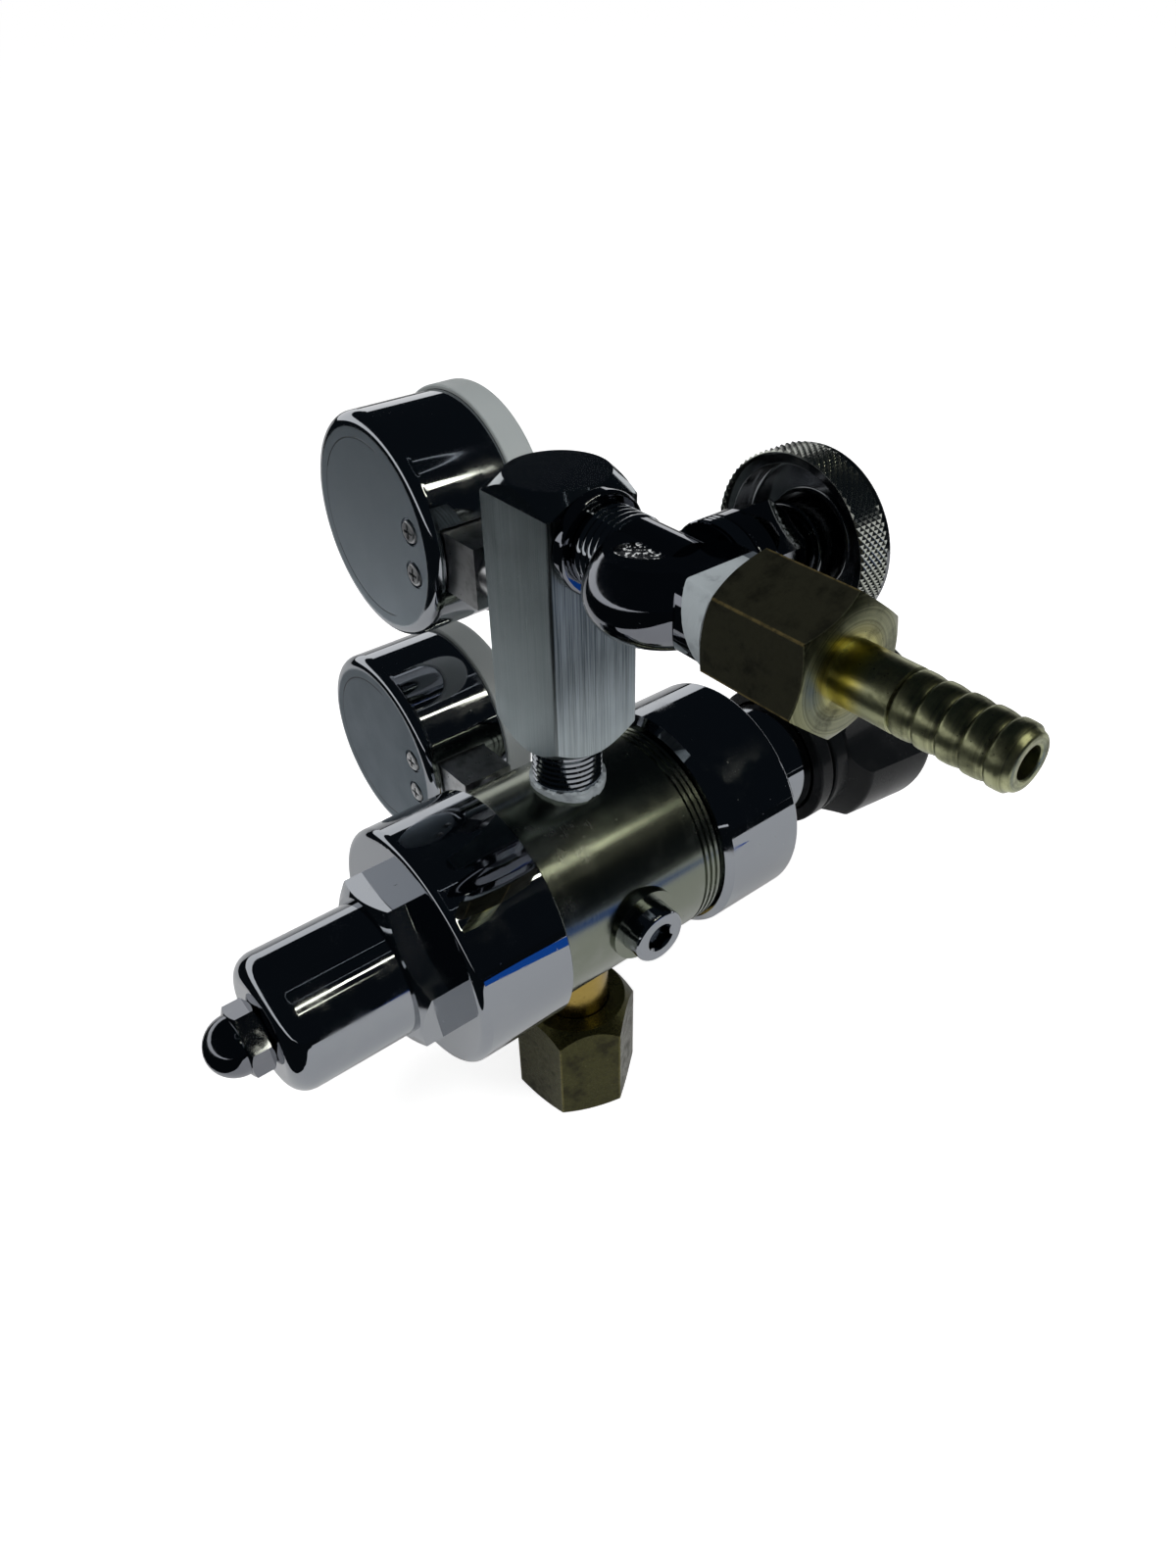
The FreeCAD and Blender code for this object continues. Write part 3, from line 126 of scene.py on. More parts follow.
class Value:
    """A number that varies over a surface, with Python's arithmetic."""

    __add__ = math_operator("ADD")
    __radd__ = math_operator("ADD", swapped=True)
    __sub__ = math_operator("SUBTRACT")
    __rsub__ = math_operator("SUBTRACT", swapped=True)
    __mul__ = math_operator("MULTIPLY")

    def __init__(self, nodes: "Nodes", socket: bpy.types.NodeSocket) -> None:
        """Wraps an output socket of one tree.

        Args:
            nodes: The tree that the socket belongs to.
            socket: The output that carries the number.
        """
        self.nodes = nodes
        self.socket = socket

    def step(self, low: float, high: float) -> "Value":
        """0 below low, 1 above high and smooth between them; low may be the larger one."""
        return self.nodes.node(
            "ShaderNodeMapRange", {"interpolation_type": "SMOOTHSTEP"},
            {"Value": self, "From Min": low, "From Max": high})

    def peak(self, centre: float, half: float) -> "Value":
        """1 at the centre value, falling to 0 at half the width on either side."""
        away = self.nodes.node("ShaderNodeMath", {"operation": "ABSOLUTE"}, {0: self - centre})
        return away.step(half, 0.0)


class Nodes:
    """Node tree of a material or world, built node by node."""

    def __init__(self, owner: bpy.types.ID) -> None:
        """Starts an empty tree.

        Args:
            owner: The material or world that the tree belongs to.
        """
        owner.use_nodes = True
        self.tree = owner.node_tree
        self.tree.nodes.clear()

    def node(self, kind: str, settings: dict[str, Any], inputs: dict[Any, Any],
             output: Any = 0) -> Value:
        """Adds one node.

        Args:
            kind: Type of the node.
            settings: Its settings, such as a Math node's operation.
            inputs: Values or links for its sockets, by name or number.
            output: The output that is wanted.

        Returns:
            The wanted output.
        """
        node = self.tree.nodes.new(kind)
        for key, value in settings.items():
            setattr(node, key, value)
        for key, value in inputs.items():
            self.feed(node.inputs[key], value)
        return Value(self, node.outputs[output])

    def feed(self, socket: bpy.types.NodeSocket, value: Any) -> None:
        """Gives a socket a link or a constant."""
        if isinstance(value, Value):
            self.tree.links.new(value.socket, socket)
        elif isinstance(value, tuple) and len(value) == 3 and socket.type == "RGBA":
            socket.default_value = (*value, 1.0)
        else:
            socket.default_value = value

    def end(self, kind: str, surface: Value) -> None:
        """Adds the output node.

        Args:
            kind: Type of the output node.
            surface: The shader that it shows.
        """
        self.feed(self.tree.nodes.new(kind).inputs["Surface"], surface)

    def seen_by(self, *rays: str) -> Value:
        """1 for the named kinds of ray, such as Camera, and 0 for the others."""
        seen: Any = 0.0
        for ray in rays:
            found = self.node("ShaderNodeLightPath", {}, {}, f"Is {ray} Ray")
            seen = self.node("ShaderNodeMath", {"operation": "MAXIMUM"}, {0: seen, 1: found})
        return seen


class Paint(Nodes):
    """One procedural material round a Principled shader."""

    def __init__(self, name: str) -> None:
        """Starts a material.

        Args:
            name: Name of the material.
        """
        self.material = bpy.data.materials.new(name)
        super().__init__(self.material)
        self.shader = self.tree.nodes.new("ShaderNodeBsdfPrincipled")
        self.end("ShaderNodeOutputMaterial", Value(self, self.shader.outputs[0]))

    def place(self, centre: Point = (0, 0, 0), scale: Point = (1, 1, 1)) -> Value:
        """Coordinates of the piece, moved to a centre and stretched.

        Args:
            centre: Point that becomes the pattern's origin, in metres.
            scale: Factor on each axis.
        """
        spot = self.node("ShaderNodeTexCoord", {}, {}, "Object")
        shifted = tuple(-c * s for c, s in zip(centre, scale))
        return self.node(
            "ShaderNodeMapping", {}, {"Vector": spot, "Location": shifted, "Scale": scale})

    def axis_value(self, where: Value, letter: str) -> Value:
        """One coordinate of a place."""
        return self.node("ShaderNodeSeparateXYZ", {}, {0: where}, letter)

    def reach(self, where: Value, first: str, second: str) -> Value:
        """Distance from the axis that is square to two coordinates."""
        a = self.axis_value(where, first)
        b = self.axis_value(where, second)
        return self.node("ShaderNodeMath", {"operation": "SQRT"}, {0: a * a + b * b})

    def noise(self, where: Value, size: float, detail: float = 4.0, rough: float = 0.55) -> Value:
        """Cloudy noise between about 0.3 and 0.7.

        Args:
            where: Coordinates of the pattern.
            size: Size of one cloud, in metres.
            detail: Octaves.
            rough: Weight of the finer octaves.
        """
        return self.node(
            "ShaderNodeTexNoise", {},
            {"Vector": where, "Scale": 1 / size, "Detail": detail, "Roughness": rough}, "Fac")

    def specks(self, where: Value, size: float, share: float) -> Value:
        """Small round spots, one in each cell.

        Args:
            where: Coordinates of the pattern.
            size: Size of a cell, in metres.
            share: Radius of a spot as a share of its cell.
        """
        near = self.node("ShaderNodeTexVoronoi", {}, {"Vector": where, "Scale": 1 / size})
        return near.step(share, share * 0.4)

    def blend(self, factor: Any, first: Any, second: Any) -> Value:
        """Colour that goes from the first to the second."""
        return self.node(
            "ShaderNodeMix", {"data_type": "RGBA"},
            {"Factor": factor, 6: first, 7: second}, 2)

    def finish(self, color: Any, metallic: Any, roughness: Any, height: Value | None = None,
               depth: float = 0.0, **constants: Any) -> None:
        """Sets the shader's sockets.

        Args:
            color: Base colour.
            metallic: 0 to 1.
            roughness: 0 to 1.
            height: Relief, as a number from 0 to 1.
            depth: Metres that a relief of 1 stands out.
            constants: Other sockets by name, with underscores for spaces.
        """
        self.feed(self.shader.inputs["Base Color"], color)
        self.feed(self.shader.inputs["Metallic"], metallic)
        self.feed(self.shader.inputs["Roughness"], roughness)
        for key, value in constants.items():
            self.feed(self.shader.inputs[key.replace("_", " ")], value)
        if height is not None:
            bump = self.node(
                "ShaderNodeBump", {}, {"Height": height, "Strength": 1.0, "Distance": depth})
            self.feed(self.shader.inputs["Normal"], bump)


@dataclass(frozen=True)
class Recipe(ABC):
    """A finish: its name, and how its nodes are set."""

    name: str

    @abstractmethod
    def fill(self, paint: Paint) -> None:
        """Sets the nodes of the finish.

        Args:
            paint: The empty material.
        """

    def material(self) -> bpy.types.Material:
        """Builds the material."""
        paint = Paint(self.name)
        self.fill(paint)
        return paint.material


@dataclass(frozen=True)
class Chrome(Recipe):
    """Bright chrome plate with faint hairlines, finger marks and dust, and painted glints in a
    cast recess where one is given.
    """

    color: Rgb = (0.33, 0.35, 0.38)
    haze: Rgb = (0.46, 0.47, 0.47)
    # Colour of the painted highlight: lamp glints painted into the cast recess.
    glint: Rgb = (0.75, 0.77, 0.77)
    gloss: float = 0.03
    marks: float = 0.12
    dust: float = 0.25
    smear_size: float = 13.0 * MM
    hair_size: float = 0.9 * MM
    dust_size: float = 4.6 * MM
    wave_size: float = 20.0 * MM
    relief: float = 0.06 * MM
    cast: Point | None = None
    cast_reach: float = 5.0 * MM
    cast_depth: float = 0.3 * MM

    def fill(self, paint: Paint) -> None:
        """Sets the nodes of the finish."""
        where = paint.place()
        smear = paint.noise(where, self.smear_size, 5.0).step(0.50, 0.68)
        lengthwise = paint.place(scale=(0.12, 1.0, 1.0))
        hair = paint.noise(lengthwise, self.hair_size, 3.0).step(0.62, 0.72)
        spots = paint.specks(where, self.dust_size, 0.07)
        roughness = self.gloss + smear * self.marks + hair * 0.05 + spots * self.dust
        tint = paint.blend(spots * 0.3 + smear * 0.12, self.color, self.haze)
        height = paint.noise(where, self.wave_size, 2.0) * 0.6 - hair * 0.01
        metallic: Any = 1.0
        if self.cast is not None:
            recess = paint.place(self.cast)
            floor = paint.axis_value(recess, "Z").peak(0.0, self.cast_depth)
            reach = paint.reach(recess, "X", "Y")
            inside = reach.step(self.cast_reach + 0.3 * MM, self.cast_reach) * floor
            # Painted highlight: white, non-metal specks in the cast recess stand in for lamp
            # glints.
            painted_glints = paint.noise(recess, self.hair_size, 2.0).step(0.54, 0.60) * inside
            tint = paint.blend(painted_glints, tint, self.glint)
            metallic = 1 - painted_glints
            roughness = roughness + inside * 0.3
        paint.finish(tint, metallic, roughness, height, self.relief)


@dataclass(frozen=True)
class TurnedChrome(Recipe):
    """Chrome over a turned surface: fine rings about X and a satin sheen."""

    color: Rgb = (0.22, 0.24, 0.195)
    haze: Rgb = (0.42, 0.43, 0.41)
    gloss: float = 0.15
    ring_size: float = 0.35 * MM
    smear_size: float = 11.0 * MM
    dust_size: float = 5.0 * MM
    relief: float = 0.012 * MM

    def fill(self, paint: Paint) -> None:
        """Sets the nodes of the finish."""
        rings = paint.noise(paint.place(scale=(1.0, 0.01, 0.01)), self.ring_size, 3.0)
        where = paint.place()
        smear = paint.noise(where, self.smear_size, 5.0).step(0.48, 0.70)
        spots = paint.specks(where, self.dust_size, 0.06)
        roughness = self.gloss + smear * 0.10 + rings * 0.08 + spots * 0.2
        tint = paint.blend(smear * 0.25, self.color, self.haze)
        paint.finish(tint, 1.0, roughness, rings, self.relief)


@dataclass(frozen=True)
class GrainedNickel(Recipe):
    """Nickel plate over a ground bar, with the grain along Z, a smooth turned top, and painted
    light: a lighter -X face and a lighter lower part.
    """

    top: float
    side: float
    color: Rgb = (0.05, 0.062, 0.064)
    # Pale colour of the grain streaks, also used for the painted light towards the bottom.
    pale: Rgb = (0.40, 0.45, 0.46)
    # Painted light: the -X face's own lighter colour, and its grain streaks.
    painted_light_flank: Rgb = (0.34, 0.41, 0.43)
    painted_light_flank_streak: Rgb = (0.52, 0.58, 0.60)
    turned: Rgb = (0.33, 0.36, 0.38)
    turned_depth: float = 4.0 * MM
    blur: float = 0.2 * MM
    # Depths below the top over which the painted light fades in towards the bottom.
    painted_light_from: float = 34.0 * MM
    painted_light_to: float = 56.0 * MM
    fine_size: float = 0.28 * MM
    broad_size: float = 2.2 * MM
    cloud_size: float = 12.0 * MM
    relief: float = 0.03 * MM

    def fill(self, paint: Paint) -> None:
        """Sets the nodes of the finish."""
        where = paint.place((0, 0, self.top))
        height = paint.axis_value(where, "Z")
        fine = paint.noise(paint.place(scale=(1, 1, 0.012)), self.fine_size, 4.0, 0.7)
        broad = paint.noise(paint.place(scale=(1, 1, 0.03)), self.broad_size, 3.0)
        cloud = paint.noise(where, self.cloud_size, 3.0).step(0.4, 0.7)
        turned = height.step(-self.turned_depth - self.blur, -self.turned_depth + self.blur)
        # Painted light: mask of the -X face, which gets its own lighter colour.
        left = paint.axis_value(where, "X").step(0.3 * MM - self.side, -self.side)
        # Painted light: the sides grow lighter towards the bottom.
        low = height.step(-self.painted_light_from, -self.painted_light_to)
        roughness = (0.20 + fine * 0.22 + cloud * 0.10) * (1 - turned) + turned * 0.10
        streak = fine.step(0.36, 0.64) * 0.35 + broad.step(0.35, 0.65) * 0.15
        tint = paint.blend(streak + low * 0.6, self.color, self.pale)
        tint = paint.blend(left, tint, paint.blend(streak, self.painted_light_flank, self.painted_light_flank_streak))
        tint = paint.blend(turned, tint, self.turned)
        grain = (fine + broad * 0.4) * (1 - turned)
        paint.finish(tint, 1.0, roughness, grain, self.relief)


@dataclass(frozen=True)
class GaugeSteel(Recipe):
    """Plated gauge case: glossy side, satin back with two scribed arcs round its centre."""

    centre: Point
    back: float
    satin: Rgb
    plate: Rgb = (0.36, 0.38, 0.41)
    scribed: Rgb = (0.02, 0.02, 0.025)
    edge: float = 23.6 * MM
    arc_reach: float = 21.2 * MM
    arc_width: float = 0.34 * MM
    arc_gap: float = 10.5 * MM
    arc_end: float = 4.0 * MM
    grain_size: float = 0.6 * MM
    cloud_size: float = 9.0 * MM
    dust_size: float = 3.5 * MM
    relief: float = 0.05 * MM

    def fill(self, paint: Paint) -> None:
        """Sets the nodes of the finish."""
        where = paint.place(self.centre)
        spread = paint.reach(where, "Y", "Z")
        face = paint.axis_value(where, "X").step(self.back + 0.9 * MM, self.back + 0.2 * MM)
        face = face * spread.step(self.edge + 0.6 * MM, self.edge - 0.4 * MM)
        side = paint.axis_value(where, "Y").step(-self.arc_end - 3.0 * MM, -self.arc_end)
        upright = paint.axis_value(where, "Z").peak(0.0, self.arc_gap).step(0.0, 0.02)
        arc = spread.peak(self.arc_reach, self.arc_width) * side * face * (1 - upright * 0.55)
        grain = paint.noise(paint.place(scale=(1, 1, 0.15)), self.grain_size, 4.0, 0.7)
        cloud = paint.noise(where, self.cloud_size, 5.0)
        spots = paint.specks(where, self.dust_size, 0.09)
        brushed = 0.30 + cloud * 0.22 + grain * 0.06
        glossy = 0.05 + cloud.step(0.5, 0.75) * 0.12 + spots * 0.25
        roughness = brushed * face + glossy * (1 - face)
        tint = paint.blend(face, self.plate, self.satin)
        tint = paint.blend(arc * 0.9, tint, self.scribed)
        height = (grain * 0.15 + cloud * 0.2) * face - arc
        paint.finish(tint, 1.0, roughness, height, self.relief)


@dataclass(frozen=True)
class AgedBrass(Recipe):
    """Brass with brown tarnish, lighter and ringed past a plane where it was turned, with a
    painted highlight beside the turned end's neck and hex corners lighter from wear and a painted
    highlight.
    """

    letters: tuple[str, str]
    centre: Point
    bright: Rgb = (0.24, 0.19, 0.07)
    brown: Rgb = (0.055, 0.040, 0.018)
    turned: Rgb = (0.56, 0.58, 0.34)
    # Colour of the painted highlight beside the neck of the turned end.
    shine: Rgb = (0.75, 0.62, 0.06)
    # Colour of the hex corners: partly rubbed wear, partly a painted highlight.
    worn: Rgb = (0.16, 0.125, 0.05)
    pit: Rgb = (0.02, 0.014, 0.008)
    tarnish: float = 0.6
    polish: float = 0.26
    metal: float = 1.0
    specular: float = 0.5
    turned_from: float | None = None
    chamfer: float = 10.77 * MM
    slope: float = 0.63
    # How far behind the turned end's start the painted highlight lies, and its half width.
    painted_highlight_behind: float = 3.0 * MM
    painted_highlight_half: float = 4.5 * MM
    neck: float = 6.5 * MM
    corner: float = 100.0 * MM
    ring_size: float = 0.45 * MM
    cloud_size: float = 6.0 * MM
    stain_size: float = 1.8 * MM
    pit_size: float = 1.4 * MM
    scratch_size: float = 0.6 * MM
    relief: float = 0.03 * MM

    def fill(self, paint: Paint) -> None:
        """Sets the nodes of the finish."""
        where = paint.place(self.centre)
        spread = paint.reach(where, *self.letters)
        line = paint.node("ShaderNodeCombineXYZ", {}, {"X": spread})
        rings = paint.noise(line, self.ring_size, 3.0, 0.7)
        cloud = paint.noise(where, self.cloud_size, 6.0, 0.65).step(
            0.66 - self.tarnish * 0.3, 0.70)
        stain = paint.noise(where, self.stain_size, 5.0, 0.7).step(0.45, 0.68)
        pits = paint.specks(where, self.pit_size, 0.12)
        aged = cloud * (0.75 * self.tarnish + 0.2) + stain * 0.35 * self.tarnish
        roughness = self.polish + aged * 0.30
        scratch = paint.noise(
            paint.place(scale=(1.0, 0.10, 1.0)), self.scratch_size, 4.0, 0.7)
        tint = paint.blend(aged, self.bright, self.brown)
        tint = paint.blend(scratch.step(0.58, 0.74) * 0.5, tint, self.bright)
        height = stain * 0.3 + scratch * 0.2 - pits * 0.6
        metallic: Any = self.metal
        if self.turned_from is None:
            height = height + rings * 0.5
        else:
            along = paint.axis_value(where, "Y")
            fresh = self.past_the_cone(paint, along, spread, self.turned_from)
            tint = paint.blend(
                fresh * (1 - cloud * 0.5), tint,
                self.lathe(paint, along, spread, rings, self.turned_from))
            metallic = fresh * (1 - self.metal) + self.metal
            height = height + rings * (0.05 + fresh * 0.8)
            roughness = roughness - fresh * 0.06
        tint = paint.blend(pits * 0.6, tint, self.pit)
        # Lighter along the hex corners: partly rubbed wear, partly a painted highlight that makes
        # the edges show.
        edge = spread.step(self.corner - 0.14 * MM, self.corner)
        tint = paint.blend(edge * (0.8 - stain * 0.6), tint, self.worn)
        paint.finish(
            tint, metallic, roughness, height, self.relief, Specular_IOR_Level=self.specular)

    def past_the_cone(self, paint: Paint, along: Value, spread: Value,
                      start: float) -> Value:
        """1 on the turned end and 0 before it, parted by a plane that leans at its rim.

        Args:
            paint: The material.
            along: Place along the axis.
            spread: Distance from the axis.
            start: Where the turned end starts.
        """
        past = paint.node(
            "ShaderNodeMath", {"operation": "MAXIMUM"}, {0: spread - self.chamfer, 1: 0.0})
        return (along - past * self.slope).step(start + 0.2 * MM, start - 0.2 * MM)

    def lathe(self, paint: Paint, along: Value, spread: Value, rings: Value,
              start: float) -> Value:
        """Colour of the turned end: ringed, with a painted yellow highlight beside the neck,
        darker outside it.

        Args:
            paint: The material.
            along: Place along the axis.
            spread: Distance from the axis.
            rings: Lathe rings.
            start: Where the turned end starts.
        """
        # Painted highlight: a yellow band on the turned end beside the neck.
        near = along.peak(start - self.painted_highlight_behind, self.painted_highlight_half)
        near = near * spread.step(self.neck + 2.5 * MM, self.neck)
        color = paint.blend(rings.step(0.35, 0.65) * 0.5, self.turned, self.brown)
        color = paint.blend(near * 0.9, color, self.shine)
        outside = spread.step(self.neck - 0.5 * MM, self.neck + 0.3 * MM)
        return paint.blend(outside * 0.5, color, self.brown)


@dataclass(frozen=True)
class PlainMetal(Recipe):
    """Machined metal of the small and inner pieces, with tool marks and light mottling."""

    color: Rgb
    gloss: float = 0.28
    mottled: float = 0.12
    cloud_size: float = 4.0 * MM
    mark_size: float = 0.3 * MM
    relief: float = 0.01 * MM

    def fill(self, paint: Paint) -> None:
        """Sets the nodes of the finish."""
        where = paint.place()
        cloud = paint.noise(where, self.cloud_size, 5.0)
        marks = paint.noise(paint.place(scale=(1.0, 0.1, 0.1)), self.mark_size, 3.0)
        darker = tuple(channel * 0.55 for channel in self.color)
        tint = paint.blend(cloud.step(0.45, 0.75), self.color, darker)
        roughness = self.gloss + cloud * self.mottled + marks * 0.08
        paint.finish(tint, 1.0, roughness, marks + cloud * 0.4, self.relief)


@dataclass(frozen=True)
class Sintered(Recipe):
    """Bronze balls pressed together, as in a filter disc, with painted shade in the gaps between
    them.
    """

    bronze: Rgb = (0.42, 0.27, 0.12)
    # Colour of the painted shade in the gaps between the balls.
    between: Rgb = (0.08, 0.045, 0.02)
    ball_size: float = 0.35 * MM
    relief: float = 0.15 * MM

    def fill(self, paint: Paint) -> None:
        """Sets the nodes of the finish."""
        where = paint.place()
        balls = paint.node(
            "ShaderNodeTexVoronoi", {}, {"Vector": where, "Scale": 1 / self.ball_size})
        # Painted shade: darker towards the gaps between the balls.
        tint = paint.blend(balls.step(0.1, 0.7), self.bronze, self.between)
        paint.finish(tint, 1.0, 0.45 + balls * 0.3, 1 - balls, self.relief)


@dataclass(frozen=True)
class MouldedPlastic(Recipe):
    """Moulded plastic with a fine sand texture, handled until it shines in places."""

    color: Rgb
    gloss: float
    shine: float
    sand_size: float = 0.35 * MM
    worn_size: float = 12.0 * MM
    dust_size: float = 3.0 * MM
    relief: float = 0.02 * MM

    def fill(self, paint: Paint) -> None:
        """Sets the nodes of the finish."""
        where = paint.place()
        sand = paint.noise(where, self.sand_size, 3.0, 0.6)
        worn = paint.noise(where, self.worn_size, 4.0).step(0.42, 0.66)
        dust = paint.specks(where, self.dust_size, 0.05)
        pale = tuple(channel + 0.05 for channel in self.color)
        tint = paint.blend(dust * 0.5 + worn * 0.06, self.color, pale)
        paint.finish(
            tint, 0.0, self.gloss + worn * 0.14 + sand * 0.1, sand, self.relief,
            Specular_IOR_Level=self.shine)


@dataclass(frozen=True)
class Tape(Recipe):
    """White thread tape: soft, dull, creased along the wrap."""

    letter: str
    color: Rgb = (0.36, 0.40, 0.42)
    grey: Rgb = (0.17, 0.19, 0.21)
    crease_size: float = 0.7 * MM
    cloud_size: float = 3.0 * MM
    relief: float = 0.18 * MM

    def fill(self, paint: Paint) -> None:
        """Sets the nodes of the finish."""
        squeeze = tuple(1.0 if letter == self.letter else 0.12 for letter in "XYZ")
        creases = paint.noise(paint.place(scale=squeeze), self.crease_size, 5.0, 0.65)
        cloud = paint.noise(paint.place(), self.cloud_size, 4.0).step(0.5, 0.75)
        tint = paint.blend(cloud * 0.6, self.color, self.grey)
        paint.finish(tint, 0.0, 0.62 + creases * 0.2, creases, self.relief)


@dataclass(frozen=True)
class ClearPane(Recipe):
    """Clear window with a faint film of dust."""

    color: Rgb = (0.95, 0.96, 0.96)
    film_size: float = 8.0 * MM
    refraction: float = 1.49

    def fill(self, paint: Paint) -> None:
        """Sets the nodes of the finish."""
        film = paint.noise(paint.place(), self.film_size, 4.0).step(0.45, 0.75)
        paint.finish(
            self.color, 0.0, 0.02 + film * 0.05, Transmission_Weight=1.0,
            IOR=self.refraction)


@dataclass(frozen=True)
class Ink(Recipe):
    """Printed ink or painted card, slightly uneven."""

    color: Rgb
    dull: float = 0.5
    fleck_size: float = 0.5 * MM
    relief: float = 0.005 * MM

    def fill(self, paint: Paint) -> None:
        """Sets the nodes of the finish."""
        fleck = paint.noise(paint.place(), self.fleck_size, 4.0)
        lighter = tuple(min(1.0, channel + 0.04) for channel in self.color)
        tint = paint.blend(fleck.step(0.4, 0.7), self.color, lighter)
        paint.finish(tint, 0.0, self.dull + fleck * 0.1, fleck, self.relief)


class Bench:
    """Modelling moves that the pieces share."""

    @staticmethod
    def clear() -> None:
        """Deselects everything."""
        bpy.ops.object.select_all(action="DESELECT")

    @staticmethod
    def named(name: str) -> bpy.types.Object:
        """The active object under a new name, its mesh too."""
        piece = bpy.context.object
        piece.name = name
        piece.data.name = name
        return piece

    @staticmethod
    def pick(piece: bpy.types.Object) -> None:
        """Selects one object and makes it active."""
        Bench.clear()
        piece.select_set(True)
        bpy.context.view_layer.objects.active = piece

    @staticmethod
    @contextmanager
    def editing(piece: bpy.types.Object) -> Iterator[None]:
        """Edit mode on one piece, with everything selected."""
        Bench.pick(piece)
        bpy.ops.object.mode_set(mode="EDIT")
        bpy.ops.mesh.select_all(action="SELECT")
        yield
        bpy.ops.object.mode_set(mode="OBJECT")

    @staticmethod
    def settle(piece: bpy.types.Object, turn: Matrix, centre: Point) -> bpy.types.Object:
        """Turns and moves a piece and applies it, so that its object stays at the origin."""
        Bench.pick(piece)
        piece.matrix_world = Matrix.Translation(Vector(centre)) @ turn @ piece.matrix_world
        bpy.context.view_layer.update()
        bpy.ops.object.transform_apply()
        return piece

    @staticmethod
    def outward(piece: bpy.types.Object, smooth: float | None = None) -> bpy.types.Object:
        """Merges doubles, turns every face outwards and shades smooth below an angle.

        Args:
            piece: The mesh.
            smooth: Largest angle in degrees that is shaded smooth.
        """
        with Bench.editing(piece):
            bpy.ops.mesh.remove_doubles(threshold=1e-7)
            bpy.ops.mesh.normals_make_consistent(inside=False)
        if smooth is not None:
            bpy.ops.object.shade_smooth_by_angle(angle=math.radians(smooth))
        return piece

    @staticmethod
    def apply(piece: bpy.types.Object) -> None:
        """Applies every modifier of a piece."""
        Bench.pick(piece)
        for modifier in list(piece.modifiers):
            bpy.ops.object.modifier_apply(modifier=modifier.name)

    @staticmethod
    def turned(name: str, profile: list[tuple[float, float]], steps: int = 96) -> bpy.types.Object:
        """Ring turned about Z from a closed (radius, height) profile.

        Args:
            name: Name of the piece.
            profile: Corners in order round the section.
            steps: Sides of the ring.

        Returns:
            The ring, at the origin.
        """
        Bench.clear()
        radius, height = profile[0]
        bpy.ops.mesh.primitive_circle_add(vertices=steps, radius=radius, location=(0, 0, height))
        piece = Bench.named(name)
        bpy.ops.object.transform_apply()
        with Bench.editing(piece):
            for next_radius, next_height in profile[1:] + profile[:1]:
                factor = next_radius / radius
                bpy.ops.mesh.extrude_edges_move(
                    TRANSFORM_OT_translate={"value": (0, 0, next_height - height)})
                bpy.ops.transform.resize(
                    value=(factor, factor, 1), center_override=(0, 0, next_height))
                radius, height = next_radius, next_height
        return Bench.outward(piece)

    @staticmethod
    def copied(node: bpy.types.Object, name: str) -> bpy.types.Object:
        """Copy of a CAD node under a name of its own, ready to be merged and changed."""
        piece = node.copy()
        piece.data = node.data.copy()
        bpy.context.scene.collection.objects.link(piece)
        Bench.pick(piece)
        bpy.ops.mesh.customdata_custom_splitnormals_clear()
        return Bench.named(name)

    @staticmethod
    def joined(name: str, parts: list[bpy.types.Object]) -> bpy.types.Object:
        """Joins several meshes into one piece."""
        Bench.pick(parts[0])
        for part in parts:
            part.select_set(True)
        bpy.ops.object.join()
        return Bench.named(name)

    @staticmethod
    def dress(piece: bpy.types.Object, material: bpy.types.Material, body: str,
              slot: str) -> None:
        """Gives a new piece its finish and its body."""
        piece.data.materials.clear()
        piece.data.materials.append(material)
        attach(piece, body)
        LOG.info("%s on %s, %d faces", piece.name, body, len(piece.data.polygons))


@dataclass
class ScrewThread:
    """Helical ridge on a neck, or on a tube of its own: a male thread left in sight."""

    name: str
    axis: Axis
    centre: Point
    crest: float
    start: float
    end: float
    pitch: float = 1.41 * MM
    tooth: float = 0.75 * MM
    half_width: float = 0.52
    sides: int = 6
    steps: int = 48
    bore: float | None = None

    def ridge(self) -> bpy.types.Object:
        """Helical ridge with rounded crests.

        Returns:
            The ridge, along Z from 0.
        """
        turns = (self.end - self.start - self.pitch) / self.pitch
        Bench.clear()
        bpy.ops.mesh.primitive_circle_add(
            vertices=self.sides, radius=self.pitch * self.half_width,
            location=(self.crest - self.tooth / 2, 0, self.pitch / 2),
            rotation=(math.pi / 2, 0, 0))
        ridge = Bench.named(self.name + "_ridge")
        ridge.scale = (self.tooth / self.pitch, 1, 1)
        bpy.ops.object.transform_apply()
        screw = ridge.modifiers.new("screw", "SCREW")
        screw.axis = "Z"
        screw.angle = 2 * math.pi * turns
        screw.screw_offset = self.pitch * turns
        screw.steps = int(self.steps * turns)
        screw.render_steps = screw.steps
        screw.use_smooth_shade = True
        Bench.apply(ridge)
        with Bench.editing(ridge):
            bpy.ops.mesh.fill_holes(sides=8)
        return ridge

    def build(self) -> bpy.types.Object:
        """Ridge, with its tube where it has one, as one piece in its place."""
        piece = self.ridge()
        if self.bore is not None:
            root = self.crest - self.tooth
            length = self.end - self.start
            tube = Bench.turned(self.name + "_tube", [
                (self.bore, 0), (root, 0), (root, length), (self.bore, length)])
            piece = Bench.joined(self.name, [tube, piece])
        piece.name = self.name
        Bench.outward(piece, smooth=40)
        turn = self.axis.turn()
        start = Vector(self.centre) + turn @ Vector((0, 0, self.start))
        return Bench.settle(piece, turn, tuple(start))


